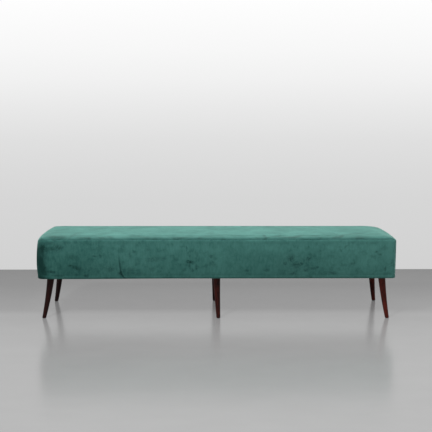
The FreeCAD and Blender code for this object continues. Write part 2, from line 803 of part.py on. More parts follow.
def tack_places():
    """Two tacks in each end of every strap, their heads flush with the folded webbing."""
    places = []
    for shift in row_places(2, "sizes.tack_spacing / 2"):
        for end in ("-", ""):
            y = f"{end}({CROSS_STRAP_HALF} - sizes.tack_set_in)"
            for x in CROSS_STRAP_PLACES:
                places.append(
                    FreeCAD.Placement(vector(f"{x} + {shift}", y, HESSIAN_BOTTOM), about_z(0))
                )
            x = f"{end}({LONG_STRAP_HALF} - sizes.tack_set_in)"
            for y in LONG_STRAP_PLACES:
                places.append(
                    FreeCAD.Placement(vector(x, f"{y} + {shift}", HESSIAN_BOTTOM), about_z(0))
                )
    return places


webbing_tacks = keep(copies("webbing_tacks", tack, tack_places()), "webbing_tacks")
keep(cut("cross_webbing", cross_straps, webbing_tacks), "cross_webbing")
keep(cut("long_webbing", long_straps, webbing_tacks), "long_webbing")

# Frame: two long rails, two end rails between them, three cross members and six leg blocks
rail_fasteners = compound(
    "rail_fasteners",
    [rail_dowels, cross_member_dowels, block_screws, cover_staples, dust_cover_staples, webbing_tacks],
)


def frame_board(name, length, width, height, x, y, z, degrees, fasteners):
    """A board of the frame, drilled for the fasteners that enter it."""
    blank = place(board(name + "_board", length, width, height), x, y, z, degrees)
    return keep(cut(name, blank, fasteners), name)


def make_rails():
    long_rail = (f"2 * {FRAME_HALF_LENGTH}", "sizes.rail_thickness", "sizes.rail_height")
    end_rail = (f"2 * {INNER_HALF_DEPTH}", "sizes.rail_thickness", "sizes.rail_height")
    for name, y, degrees in (("front_rail", "-" + FRAME_HALF_DEPTH, 0),
                             ("rear_rail", FRAME_HALF_DEPTH, 180)):
        frame_board(name, *long_rail, "0", y, FRAME_BOTTOM, degrees, rail_fasteners)
    for name, x, degrees in (("left_end_rail", "-" + FRAME_HALF_LENGTH, -90),
                             ("right_end_rail", FRAME_HALF_LENGTH, 90)):
        frame_board(name, *end_rail, x, "0", FRAME_BOTTOM, degrees, rail_fasteners)


def make_cross_members():
    for name, x in CROSS_MEMBER_PLACES.items():
        frame_board(
            name, f"2 * {INNER_HALF_DEPTH}", "sizes.cross_member_thickness",
            "sizes.cross_member_height", f"{x} - sizes.cross_member_thickness / 2", "0",
            f"{CROSS_MEMBER_TOP} - sizes.cross_member_height", -90, cross_member_dowels,
        )


block_fasteners = compound("block_fasteners", [block_screws, tee_nuts])


def make_leg_block(leg):
    """A block in the angle of the rails, drilled for the leg's bolt, its nut and the screws."""
    front = leg.name.startswith("front")
    name = leg.name + "_leg_block"
    blank = board(name + "_board", leg.block_length, "sizes.leg_block_width",
                  "sizes.leg_block_height")
    hole = new_sketch(blank, name + "_bolt_hole", "XY_Plane")
    outward = (
        f"({leg.x} - {leg.block_x})",
        f"({INNER_HALF_DEPTH} + ({leg.y}))" if front else f"({INNER_HALF_DEPTH} - ({leg.y}))",
    )
    local_x = outward[0] if front else "-" + outward[0]
    draw_circle(hole, local_x, outward[1], "sizes.bolt_diameter + 2 * sizes.bolt_hole_clearance")
    pocket(blank, hole, "sizes.leg_block_height", upwards=True)
    y = "-" + INNER_HALF_DEPTH if front else INNER_HALF_DEPTH
    place(blank, leg.block_x, y, FRAME_BOTTOM, 0 if front else 180)
    return keep(cut(name, blank, block_fasteners), name)


make_rails()
make_cross_members()
for leg in LEGS:
    make_leg_block(leg)

# Hessian over the webbing
keep(
    box("hessian",
        (f"sizes.hessian_margin - {FRAME_HALF_LENGTH}",
         f"sizes.hessian_margin - {FRAME_HALF_DEPTH}", HESSIAN_BOTTOM),
        (f"{FRAME_HALF_LENGTH} - sizes.hessian_margin",
         f"{FRAME_HALF_DEPTH} - sizes.hessian_margin", FOAM_BOTTOM)),
    "hessian_sheet",
)

# Seat foam with its crown, flush with the outside of the frame
keep(
    crowned_block("foam_block", FRAME_HALF_LENGTH, FRAME_HALF_DEPTH, FOAM_BOTTOM, FOAM_EDGE, FOAM_TOP),
    "seat_foam",
)

# Padding boards of thin foam on the four sides, their outer corners rounded with the seat
PADDING_INSET = "(sizes.seam_draw + sizes.cover_thickness + 2 * sizes.soft_gap + sizes.side_wadding)"
PADDING_HEIGHT = f"({FOAM_EDGE} - {PADDING_BOTTOM})"
padding_plan = plan_prism("padding_plan", PADDING_INSET)


def make_padding(name, length, x, y, degrees):
    blank = place(
        board(name + "_board", length, "sizes.padding_thickness", PADDING_HEIGHT),
        x, y, PADDING_BOTTOM, degrees,
    )
    return keep(common(name, blank, padding_plan), name)


make_padding("front_padding", f"2 * {PADDING_HALF_LENGTH}", "0", "-" + PADDING_HALF_DEPTH, 0)
make_padding("rear_padding", f"2 * {PADDING_HALF_LENGTH}", "0", PADDING_HALF_DEPTH, 180)
make_padding("left_end_padding", f"2 * {FRAME_HALF_DEPTH}", "-" + PADDING_HALF_LENGTH, "0", -90)
make_padding("right_end_padding", f"2 * {FRAME_HALF_DEPTH}", PADDING_HALF_LENGTH, "0", 90)

# Wadding: fills the room between the velvet and the stuffed frame, over the top and down the sides
core_upper = common(
    "core_upper",
    crowned_block(
        "core_block", f"({PADDING_HALF_LENGTH} + sizes.soft_gap)",
        f"({PADDING_HALF_DEPTH} + sizes.soft_gap)", f"({PADDING_BOTTOM} - sizes.soft_gap)",
        f"({FOAM_EDGE} + sizes.soft_gap)", f"({FOAM_TOP} + sizes.soft_gap)",
    ),
    plan_prism("core_plan", f"({PADDING_INSET} - sizes.soft_gap)"),
)
core_lower = box(
    "core_lower",
    (f"-{FRAME_HALF_LENGTH} - sizes.soft_gap", f"-{FRAME_HALF_DEPTH} - sizes.soft_gap", "0"),
    (f"{FRAME_HALF_LENGTH} + sizes.soft_gap", f"{FRAME_HALF_DEPTH} + sizes.soft_gap",
     PADDING_BOTTOM),
)
keep(
    cut(
        "wadding",
        stuffed_form("wadding_form", "(sizes.cover_thickness + sizes.soft_gap)"),
        fuse("core", core_upper, core_lower),
    ),
    "wadding_wrap",
)

# Velvet cover: an even skin, open underneath where it is turned under the rails
cover_opening = box(
    "cover_opening",
    ("-" + RAW_EDGE_X, "-" + RAW_EDGE_Y, "0"),
    (RAW_EDGE_X, RAW_EDGE_Y, f"{FRAME_BOTTOM} + sizes.soft_gap"),
)
cover_skin = cut(
    "cover_skin",
    stuffed_form("cover_outside", "0"),
    fuse("cover_inside", stuffed_form("cover_lining", "sizes.cover_thickness"), cover_opening),
)

# The panels meet at the top seam and at a seam down each corner
WEDGE_HALF = f"({HALF_LENGTH} - {HALF_DEPTH})"
WEDGE_FAR_X = f"({HALF_LENGTH} + sizes.overrun)"
WEDGE_FAR_Y = f"({HALF_DEPTH} + sizes.overrun)"


def side_wedge(name, corners):
    """Everything below the top seam that lies between two corner seams."""
    body = document.addObject("PartDesign::Body", name)
    sketch = new_sketch(body, name + "_outline", "XY_Plane")
    draw_outline(sketch, corners[0], [(None, corner) for corner in corners[1:] + corners[:1]])
    pad(body, sketch, "sizes.seam_height")
    return body


def make_cover_panels():
    wedges = {
        "cover_front": [("-" + WEDGE_HALF, "0"), ("-" + WEDGE_FAR_X, "-" + WEDGE_FAR_Y),
                        (WEDGE_FAR_X, "-" + WEDGE_FAR_Y), (WEDGE_HALF, "0")],
        "cover_rear": [(WEDGE_HALF, "0"), (WEDGE_FAR_X, WEDGE_FAR_Y),
                       ("-" + WEDGE_FAR_X, WEDGE_FAR_Y), ("-" + WEDGE_HALF, "0")],
        "cover_left_end": [("-" + WEDGE_HALF, "0"), ("-" + WEDGE_FAR_X, WEDGE_FAR_Y),
                           ("-" + WEDGE_FAR_X, "-" + WEDGE_FAR_Y)],
        "cover_right_end": [(WEDGE_HALF, "0"), (WEDGE_FAR_X, "-" + WEDGE_FAR_Y),
                            (WEDGE_FAR_X, WEDGE_FAR_Y)],
    }
    staples = compound("all_staples", [cover_staples, dust_cover_staples])
    for name, corners in wedges.items():
        panel = common(name + "_panel", cover_skin, side_wedge(name + "_wedge", corners))
        keep(cut(name, panel, staples), name)
    above_seam = box(
        "above_seam",
        ("-" + WEDGE_FAR_X, "-" + WEDGE_FAR_Y, "sizes.seam_height"),
        (WEDGE_FAR_X, WEDGE_FAR_Y, f"{SEAT_HEIGHT} + sizes.overrun"),
    )
    keep(common("cover_top", cover_skin, above_seam), "cover_top")


make_cover_panels()


# Dust cover: thin black cloth over the underside, with a round hole for each leg


def make_dust_cover():
    body = document.addObject("PartDesign::Body", "dust_cover_cloth")
    sketch = new_sketch(body, "dust_cover_outline", "XY_Plane")
    draw_rectangle(sketch, "-" + DUST_COVER_HALF_X, "-" + DUST_COVER_HALF_Y,
                   DUST_COVER_HALF_X, DUST_COVER_HALF_Y)
    pad(body, sketch, "sizes.dust_cover_thickness")
    holes = new_sketch(body, "leg_holes", "XY_Plane")
    for leg in LEGS:
        draw_circle(holes, leg.x, leg.y, "sizes.leg_top_diameter + 2 * sizes.leg_hole_clearance")
    pocket(body, holes, "sizes.dust_cover_thickness", upwards=True)
    place(body, "0", "0", DUST_COVER_BOTTOM)
    keep(cut("dust_cover", body, dust_cover_staples), "dust_cover")


make_dust_cover()

# Check every feature, then write one file for each sub-part
document.recompute()
for item in document.Objects:
    if any(state in ("Invalid", "Error") for state in item.State):
        raise RuntimeError(f"{item.Name} failed: {item.State}")
names = [item.Label for item in sub_parts]
if len(names) != len(set(names)):
    raise RuntimeError("two sub-parts share a name")
for item in sub_parts:
    if item.Shape.isNull() or not item.Shape.isValid() or not item.Shape.Solids:
        raise RuntimeError(f"{item.Label} has no valid solid")
os.makedirs("parts", exist_ok=True)
for item in sub_parts:
    item.Shape.exportStep(os.path.join("parts", item.Label + ".step"))
    print(item.Label, len(item.Shape.Solids), "solids", round(item.Shape.Volume), "mm3")
print(len(sub_parts), "sub-parts")
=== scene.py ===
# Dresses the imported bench: a stuffed velvet cover, foam and wadding inside it, a beech frame,
# stained legs, and a plain studio round it. Metres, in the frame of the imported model.

import json
import math

import bmesh
import bpy
import numpy
from bpy.props import FloatProperty, FloatVectorProperty, IntProperty, PointerProperty
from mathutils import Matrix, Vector, geometry, noise


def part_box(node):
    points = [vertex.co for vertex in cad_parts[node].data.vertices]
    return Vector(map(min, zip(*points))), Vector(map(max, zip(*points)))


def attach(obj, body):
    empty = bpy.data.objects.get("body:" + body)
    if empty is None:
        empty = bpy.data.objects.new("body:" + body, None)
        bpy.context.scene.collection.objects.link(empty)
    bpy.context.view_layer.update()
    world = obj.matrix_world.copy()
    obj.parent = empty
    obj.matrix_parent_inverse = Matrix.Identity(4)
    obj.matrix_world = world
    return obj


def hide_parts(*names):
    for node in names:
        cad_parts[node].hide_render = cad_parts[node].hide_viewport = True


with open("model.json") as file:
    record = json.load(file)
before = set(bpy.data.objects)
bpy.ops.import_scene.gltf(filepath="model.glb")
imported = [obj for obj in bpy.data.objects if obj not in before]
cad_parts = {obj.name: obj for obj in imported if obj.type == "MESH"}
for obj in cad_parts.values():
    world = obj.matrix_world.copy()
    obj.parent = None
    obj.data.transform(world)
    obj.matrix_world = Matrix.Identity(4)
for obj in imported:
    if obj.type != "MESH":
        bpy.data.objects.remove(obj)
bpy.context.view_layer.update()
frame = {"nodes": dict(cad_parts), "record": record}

bl_info = {
    "name": "Upholstered Bench",
    "version": (1, 0, 0),
    "blender": (4, 5, 0),
    "location": "3D View > Sidebar > Bench",
    "description": "Velvet cover, stuffing, frame, legs and studio of a long upholstered bench",
    "category": "Add Mesh",
}

SIDE_PANELS = ("cover_front", "cover_right_end", "cover_rear", "cover_left_end")
HALF_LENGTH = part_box("cover_right_end")[1].x
HALF_DEPTH = -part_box("cover_front")[0].y
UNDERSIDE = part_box("cover_front")[0].z
SEAM_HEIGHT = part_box("cover_front")[1].z
CROWN_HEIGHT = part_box("cover_top")[1].z
SLOTS = {part["node"]: part["material_slot"] for part in frame["record"]["subparts"]}


# Settings that a user would change


def number(name, description, default, unit="NONE"):
    return FloatProperty(name=name, description=description, default=default, unit=unit, precision=4)


def length(name, description, default):
    return number(name, description, default, "LENGTH")


def fraction(name, description, default):
    return FloatProperty(
        name=name, description=description, default=default, min=0, max=1, subtype="FACTOR"
    )


def colour(name, description, default):
    return FloatVectorProperty(
        name=name, description=description, default=default, size=3, min=0, max=1, subtype="COLOR"
    )


class CoverSettings(bpy.types.PropertyGroup):
    """The shape of the stuffed seat and its seams."""

    cloth_thickness: length("Cloth thickness", "Velvet with its backing", 0.002)
    raw_edge: length("Turned under", "Distance from the side to the raw edge underneath", 0.038)
    hem_roll: length("Hem roll", "Radius of the lower edge", 0.0048)
    hem_draw: length("Hem draw", "How far the long sides draw in below", 0.006)
    seam_draw: length("Seam draw", "How far the long sides draw in at the top seam", 0.0015)
    seam_lift: length("Seam lift", "How far the sewn seam lies above the cut edge of the sides", -0.0038)
    left_swell: length("Left swell", "How far the left end is stuffed out beyond the frame", 0.0006)
    left_bow: length("Left bow", "How far the left end bows out, seen from above", 0.0145)
    right_bow: length("Right bow", "How far the right end bows out, seen from above", 0.0060)
    left_hem_draw: length("Left hem draw", "How far the left end draws in below", 0.0050)
    left_seam_draw: length("Left seam draw", "How far the left end draws in at the top seam", 0.0110)
    right_hem_draw: length("Right hem draw", "How far the right end draws in below", 0.0008)
    right_seam_draw: length("Right seam draw", "How far the right end draws in at the top seam", 0.0005)
    left_corner: length("Left corners", "Radius of the left corners, seen from above", 0.035)
    right_corner: length("Right corners", "Radius of the right corners, seen from above", 0.022)
    shoulder_draw: length("Shoulder draw", "How far the sides lean in just below the top seam", 0.0022)
    shoulder_width: length("Shoulder width", "Height of the leaning strip below the top seam", 0.015)
    stitch_depth: length("Stitch depth", "Depth of the furrow that the stitches pull in", 0.0032)
    stitch_width: length("Stitch width", "Width of one side of that furrow", 0.0026)
    crown_lift: length("Crown lift", "How far the middle is stuffed up", 0.0020)
    edge_roll: length("Edge roll", "Width of the rolled front and rear edges", 0.034)
    edge_rise: length("Edge rise", "Height of the rolled front and rear edges", 0.0104)
    rear_rise: length("Rear rise", "How much higher the rear edge is rolled than the front edge", 0.0034)
    left_end_roll: length("Left end roll", "Width of the rolled left end", 0.018)
    right_end_roll: length("Right end roll", "Width of the softer right end", 0.085)
    end_rise: length("End rise", "Height of the rolled ends", 0.0150)
    left_rear_dip: length("Left rear dip", "How far the seat sinks at its left rear corner", 0.0030)
    right_rear_dip: length("Right rear dip", "How far the seat sinks at its right rear corner", 0.0100)
    dip_reach: length("Dip reach", "How far the sunk corners reach along the seat", 0.048)
    hem_sag: length("Hem sag", "How far the hem sags along its left part", 0.0028)
    bead: length("Hem bead", "How far the hem swells over its stiffening strip", 0.0008)
    unevenness: length("Unevenness", "Height of the stuffing's slow waves", 0.0007)
    pressure: number("Stuffing pressure", "Pressure that fills the cover in the simulation", 1.0)
    slack: number("Slack", "Share by which the cloth is cut larger than the form", 0.0005)
    frames: IntProperty(name="Frames", description="Length of the simulation", default=20)
    swell: length("Largest swell", "Furthest that the cloth may swell out", 0.0020)
    sink: length("Largest sink", "Furthest that the cloth may sink in", 0.0010)


class FinishSettings(bpy.types.PropertyGroup):
    """Colours of the finishes."""

    # The pressed velvet's colour also serves as painted shade along the seam, above the hem, in the crease,
    # over the top's front roll and rear edge, and at the left front corner. The brushed velvet's colour also
    # serves as painted light towards the top of the front.
    velvet_deep: colour("Velvet, pressed", "Where the pile is flat", (0.008, 0.052, 0.045))
    velvet_mid: colour("Velvet", "Colour of the upright pile", (0.028, 0.135, 0.116))
    velvet_light: colour("Velvet, brushed", "Pile brushed to the light", (0.095, 0.300, 0.262))
    velvet_sheen: colour("Velvet sheen", "Light on the tips of the pile", (0.54, 1.0, 0.87))
    # The red grain also serves as painted light on the right legs, and the dark stain as painted shade at
    # the tops of the legs.
    mahogany_dark: colour("Leg stain", "Dark grain of the legs", (0.010, 0.0035, 0.003))
    mahogany_red: colour("Leg glow", "Red grain of the legs", (0.150, 0.019, 0.010))
    beech: colour("Beech", "Frame wood", (0.52, 0.34, 0.19))
    beech_grain: colour("Beech grain", "Darker grain of the frame wood", (0.36, 0.21, 0.10))
    foam: colour("Foam", "Seat foam and padding", (0.72, 0.66, 0.44))
    wadding: colour("Wadding", "Fibre wadding", (0.80, 0.80, 0.76))
    jute: colour("Jute", "Webbing and hessian", (0.42, 0.30, 0.16))
    jute_dark: colour("Jute shadow", "Gaps of the weave", (0.13, 0.085, 0.04))
    zinc: colour("Zinc plate", "Bolts, nuts, screws and staples", (0.62, 0.62, 0.60))
    blued: colour("Blued steel", "Webbing tacks", (0.055, 0.060, 0.085))
    nylon: colour("Nylon", "Foot glides", (0.045, 0.038, 0.034))
    dust_cloth: colour("Dust cloth", "Thin cloth under the seat", (0.012, 0.012, 0.014))


class StudioSettings(bpy.types.PropertyGroup):
    """Floor, wall, lamps and camera."""

    wall_distance: length("Wall", "Distance of the wall behind the middle of the bench", 1.144)
    floor_body: colour("Floor", "Body of the floor under its seal", (0.055, 0.055, 0.055))
    floor_bounce: colour("Floor bounce", "Floor as it lights the bench", (0.18, 0.18, 0.18))
    floor_gloss: fraction("Floor roughness", "How much the floor blurs what it mirrors", 0.19)
    overhead: number("Overhead lamp", "Large soft lamp above", 62, "POWER")
    front: number("Front lamp", "Smaller lamp at the front left", 46, "POWER")
    floor_lamp: number("Floor lamp", "Small lamp that lights the floor alone", 205, "POWER")
    surround: number("Surround", "Even light from all sides", 0.32)
    lens: number("Lens", "Focal length", 73.333, "CAMERA")
    camera_place: FloatVectorProperty(
        name="Camera", description="Place of the camera", default=(-0.0316, -5.0301, 1.2812), unit="LENGTH"
    )
    camera_pitch: number("Pitch", "How far the camera looks down", math.radians(8.256), "ROTATION")
    camera_yaw: number("Yaw", "How far the camera turns to the right", math.radians(0.341), "ROTATION")


# Materials


def arithmetic(operation, swapped=False):
    """A method that adds a Math node for a signal and another value."""

    def method(self, other):
        return self.maths(operation, other, self) if swapped else self.maths(operation, self, other)

    return method


class Signal:
    """A number, colour or vector inside a material. Arithmetic on numbers adds Math nodes."""

    __add__ = arithmetic("ADD")
    __radd__ = arithmetic("ADD", swapped=True)
    __sub__ = arithmetic("SUBTRACT")
    __rsub__ = arithmetic("SUBTRACT", swapped=True)
    __mul__ = arithmetic("MULTIPLY")
    __rmul__ = arithmetic("MULTIPLY", swapped=True)
    __truediv__ = arithmetic("DIVIDE")
    __rtruediv__ = arithmetic("DIVIDE", swapped=True)
    __pow__ = arithmetic("POWER")
    at_least = arithmetic("MAXIMUM")
    at_most = arithmetic("MINIMUM")

    def __init__(self, finish, socket):
        self.finish = finish
        self.socket = socket

    def maths(self, operation, *values):
        return self.finish.node("ShaderNodeMath", {"operation": operation}, dict(enumerate(values)))

    def __abs__(self):
        return self.maths("ABSOLUTE", self)

    def wave(self, pitch):
        """A sine along a distance."""
        return self.maths("SINE", self * (math.tau / pitch))

    def ramp(self, low, high, start=0, end=1):
        """A smooth step from start to end while the number goes from low to high."""
        values = {"Value": self, "From Min": low, "From Max": high, "To Min": start, "To Max": end}
        return self.finish.node("ShaderNodeMapRange", {"interpolation_type": "SMOOTHSTEP"}, values)


class Finish:
    """A material under construction."""

    def __init__(self, name):
        self.material = bpy.data.materials.new(name)
        self.material.use_nodes = True
        self.tree = self.material.node_tree
        self.tree.nodes.clear()

    def node(self, kind, settings=None, values=None, output=0):
        """Add a node: its settings first, then the values and links of its sockets."""
        node = self.tree.nodes.new(kind)
        for name, setting in (settings or {}).items():
            if name == "stops":
                self.fill_ramp(node.color_ramp.elements, setting)
            else:
                setattr(node, name, setting)
        for name, value in (values or {}).items():
            if isinstance(value, Signal):
                self.tree.links.new(value.socket, node.inputs[name])
            else:
                node.inputs[name].default_value = value
        return Signal(self, node.outputs[output]) if node.outputs else None

    def fill_ramp(self, elements, stops):
        """Give a ramp its stops of grey."""
        while len(elements) < len(stops):
            elements.new(1)
        for element, (position, level) in zip(elements, stops):
            element.position = position
            element.color = (level, level, level, 1)

    def place(self):
        """The point on the piece, in metres."""
        return self.node("ShaderNodeTexCoord", output="Object")

    def parts(self, vector):
        """The three numbers of a vector."""
        outputs = self.node("ShaderNodeSeparateXYZ", values={"Vector": vector}).socket.node.outputs
        return [Signal(self, outputs[axis]) for axis in "XYZ"]

    def flat(self, first, second):
        """A vector of two numbers, its third 0."""
        return self.node("ShaderNodeCombineXYZ", values={"X": first, "Y": second})

    def vector(self, operation, first, second):
        return self.node("ShaderNodeVectorMath", {"operation": operation}, {0: first, 1: second})

    def scaled(self, place, factors):
        """The place, drawn out or pressed together along its axes."""
        return self.vector("MULTIPLY", place, factors)

    def noise(self, place, scale, detail=2.0, roughness=0.5, distortion=0.0):
        values = {
            "Vector": place, "Scale": scale, "Detail": detail, "Roughness": roughness,
            "Distortion": distortion,
        }
        return self.node("ShaderNodeTexNoise", values=values)

    def drift(self, place, scale, reach):
        """The place, moved about by slow noise."""
        values = {"Vector": place, "Scale": scale, "Detail": 2.0}
        clouds = self.node("ShaderNodeTexNoise", values=values, output="Color")
        centred = self.vector("SUBTRACT", clouds, (0.5, 0.5, 0.5))
        return self.vector("ADD", place, self.scaled(centred, (reach, reach, reach)))

    def away(self, place, centre, size, turn=0.0):
        """The distance from the middle of an oval: 1 is its rim."""
        values = {"Vector": place, "Location": centre, "Rotation": (0, 0, turn), "Scale": size}
        local = self.node("ShaderNodeMapping", {"vector_type": "TEXTURE"}, values)
        return self.node("ShaderNodeVectorMath", {"operation": "LENGTH"}, {0: local}, "Value")

    def mix(self, amount, first, second):
        first, second = (tint if isinstance(tint, Signal) else (*tint, 1) for tint in (first, second))
        return self.node("ShaderNodeMix", {"data_type": "RGBA"}, {0: amount, 6: first, 7: second}, 2)

    def bump(self, height, distance, strength=1.0):
        values = {"Height": height, "Distance": distance, "Strength": strength}
        return self.node("ShaderNodeBump", values=values, output="Normal")

    def principled(self, **values):
        """A Principled shader. Names use _ for a space."""
        values = {name.replace("_", " "): value for name, value in values.items()}
        return self.node("ShaderNodeBsdfPrincipled", values=values)

    def blend(self, amount, first, second):
        return self.node("ShaderNodeMixShader", values={0: amount, 1: first, 2: second})

    def close(self, shader):
        """Give the material its shader."""
        self.node("ShaderNodeOutputMaterial", values={"Surface": shader})
        return self.material

    def surface(self, **values):
        """Close the material with one Principled shader."""
        return self.close(self.principled(**values))


def tinted(tint, factor):
    """A colour made darker or lighter."""
    return [tone * factor for tone in tint]


# Where the pile is pressed dark, in millimetres: the place, half the mark's length and width. Then
# its turn in degrees and its strength. On the front the place is x and height, on the top x and depth.
FRONT_MARKS = (
    (420, 310, 130, 75, 0, 0.26), (-720, 290, 230, 45, 0, 0.20), (-974, 322, 14, 33, 0, 0.70),
    (-959, 288, 17, 28, 0, 0.60), (-961, 406, 17, 28, 0, 0.60), (-922, 431, 28, 11, 0, 0.35),
    (-911, 401, 22, 11, -20, 0.40), (-878, 412, 28, 14, -10, 0.45), (-802, 358, 14, 17, 0, 0.40),
    (-814, 308, 11, 6, 0, 0.70), (-781, 296, 33, 14, -15, 0.65), (-915, 271, 30, 9, -5, 0.70),
    (-882, 248, 39, 8, 0, 0.60), (-726, 248, 18, 9, 0, 0.65), (-674, 359, 14, 6, 0, 0.60),
    (-644, 361, 7, 12, 0, 0.55), (-587, 287, 30, 18, 0, 0.40), (-532, 259, 19, 11, -30, 0.80),
    (-480, 366, 9, 22, 0, 0.45), (-460, 386, 11, 7, -40, 0.45), (-476, 287, 22, 17, 0, 0.30),
    (-353, 341, 40, 18, 0, 0.40), (-359, 287, 18, 14, 0, 0.40), (-292, 349, 18, 12, 0, 0.35),
    (-156, 330, 15, 9, 0, 1.00), (-134, 325, 15, 10, -20, 0.65), (-148, 303, 7, 17, 0, 0.55),
    (-134, 281, 6, 12, 0, 0.65), (-111, 298, 9, 20, 0, 0.55), (-180, 280, 10, 10, 0, 0.45),
    (-147, 363, 13, 11, 0, 0.45), (-165, 401, 5, 17, 0, 0.40), (-108, 371, 18, 9, -40, 0.35),
    (-31, 360, 11, 10, 0, 0.50), (-20, 315, 24, 19, 0, 0.30), (170, 278, 13, 9, 0, 0.50),
    (281, 278, 20, 9, 0, 0.50), (381, 314, 10, 13, 0, 0.45), (414, 348, 21, 23, 0, 0.50),
    (442, 309, 24, 18, 0, 0.45), (426, 260, 24, 9, 0, 0.50), (470, 314, 14, 12, 0, 0.45),
    (508, 343, 13, 14, 0, 0.60), (537, 289, 14, 10, 0, 0.55), (562, 297, 10, 8, 0, 0.52),
    (498, 280, 15, 12, 0, 0.45), (649, 263, 26, 8, 0, 0.50), (679, 286, 11, 9, 0, 0.35),
    (691, 390, 9, 10, 0, 0.50), (718, 413, 28, 5, 38, 0.40), (754, 318, 12, 9, 0, 0.45),
    (834, 432, 8, 12, 0, 0.35), (888, 383, 10, 9, 0, 0.70), (905, 370, 11, 10, 0, 0.50),
    (939, 288, 7, 12, 0, 0.60), (978, 325, 9, 25, 0, 0.40), (956, 260, 22, 8, 0, 0.12),
    (-478, 266, 80, 24, 0, 0.20), (-865, 415, 85, 28, 0, 0.20),
)
TOP_MARKS = (
    (-914, -191, 34, 26, -32, 0.55), (-870, -196, 50, 18, -5, 0.60), (-799, -136, 80, 12, 78, 0.60),
    (-741, -197, 50, 15, -7, 0.50), (-713, -3, 70, 15, 49, 0.45), (-647, -196, 36, 17, -23, 0.50),
    (-594, -186, 28, 13, -57, 0.55), (-495, 81, 50, 20, 33, 0.40), (-399, -192, 48, 20, -32, 0.40),
    (-200, -199, 66, 13, -7, 0.40), (-59, -176, 48, 16, 16, 0.35), (25, -176, 30, 16, -56, 0.45),
    (269, -172, 34, 11, -77, 1.00), (410, -195, 50, 17, 4, 0.70), (459, -175, 50, 17, 43, 0.60),
    (547, -167, 42, 16, 15, 0.40), (676, -188, 46, 19, 28, 0.62), (701, -170, 48, 12, 68, 0.60),
    (761, -126, 58, 18, 32, 0.70), (813, -116, 36, 14, -34, 0.60), (864, -137, 38, 14, 31, 0.55),
    (807, -199, 70, 14, 3, 0.42),
)

# A mark starts at the first share of its size, and is full at the second
MARK_RIM, MARK_FULL = 1.4, 0.2

# The thin upright crease in the front: it leans to the right below one height, and bends to the
# right below another
CREASE_X = -0.5435
LEAN_HEIGHT, LEAN = 0.365, 0.12
BEND_HEIGHT, BEND = 0.262, 24
CREASE_WIDTH, CREASE_SHADE_WIDTH, CREASE_DEPTH = 0.007, 0.0080, 0.0016

# The crease starts at its top and is at its full depth one fade lower. The front lies before its y.
CREASE_TOP, CREASE_FADE, FRONT_Y = 0.39, 0.05, -0.2

# Where the left front corner turns away from the light and gets painted shade, and how far that reaches
TURNED_PLACE, TURNED_SIZE = (-0.990, -0.222, 0), (0.075, 0.075, 100)

# Pitch of the weaves, over two threads, and of the dust cover's dimples
HESSIAN_PITCH, WEBBING_PITCH, DIMPLE_PITCH = 0.0032, 0.0046, 0.0016


def pressed_pile(finish, place, marks):
    """How much the pile is pressed at the listed marks, their rims broken up by noise."""
    drifted = finish.drift(place, 48, 0.018)
    darkening = 0
    for *sizes, turn, strength in marks:
        x, y, half_length, half_width = (size / 1000 for size in sizes)
        away = finish.away(drifted, (x, y, 0), (half_length, half_width, 1), math.radians(turn))
        darkening = darkening + away.ramp(MARK_RIM, MARK_FULL) * strength
    rough = finish.noise(place, 120, 3, 0.6).ramp(0.36, 0.60)
    return darkening * (0.4 + 0.6 * rough)


def crease_line(z, positive):
    """The crease's place along the front at a height, which is a number or a signal."""
    return CREASE_X + positive(LEAN_HEIGHT - z) * LEAN + positive(BEND_HEIGHT - z) ** 2 * BEND


def pile_of_front(finish, place, x, y, z):
    """How far the pile of the front is brushed towards the light, with painted light, and how far it is
    darkened, where it is pressed and by painted shade.
    """
    flat = finish.flat(x, z)
    clouds = finish.noise(finish.drift(flat, 9, 0.06), 5, 2, 0.5)
    blotches = finish.noise(finish.drift(flat, 30, 0.03), 24, 3, 0.62)
    upright = finish.scaled(finish.drift(flat, 20, 0.02), (1, 0.3, 1))
    strokes = finish.noise(upright, 95, 3, 0.6)
    lift = clouds.ramp(0.36, 0.64) * 0.20 + blotches.ramp(0.34, 0.66) * 0.19 - 0.025
    # Painted light: lighter towards the top of the front. It also gets lighter towards the right end and
    # darker towards the left end.
    lift = lift + strokes.ramp(0.30, 0.70) * 0.22 + x.ramp(-1.05, -0.05) * 0.26
    lift = lift + x.ramp(0.45, 1.0) * 0.24 + x.ramp(0.92, 0.99) * 0.22 + z.ramp(0.27, 0.44) * 0.12
    calm = x.ramp(-0.04, 0.06) * x.ramp(0.41, 0.34)
    darkening = blotches.ramp(0.46, 0.32) * (0.19 - calm * 0.16)
    darkening = darkening + pressed_pile(finish, flat, FRONT_MARKS)
    # Painted shade: darker in a strip just under the seam, and towards the hem.
    darkening = darkening + z.ramp(SEAM_HEIGHT - 0.009, SEAM_HEIGHT - 0.005) * 0.6
    darkening = darkening + z.ramp(0.250, 0.234) * 0.25
    # Painted shade in the crease, on top of its modelled groove.
    from_crease = abs(x - crease_line(z, lambda value: value.at_least(0))) / CREASE_SHADE_WIDTH
    return lift, darkening + from_crease.ramp(1, 0.1) * z.ramp(0.385, 0.310) * 0.62, strokes


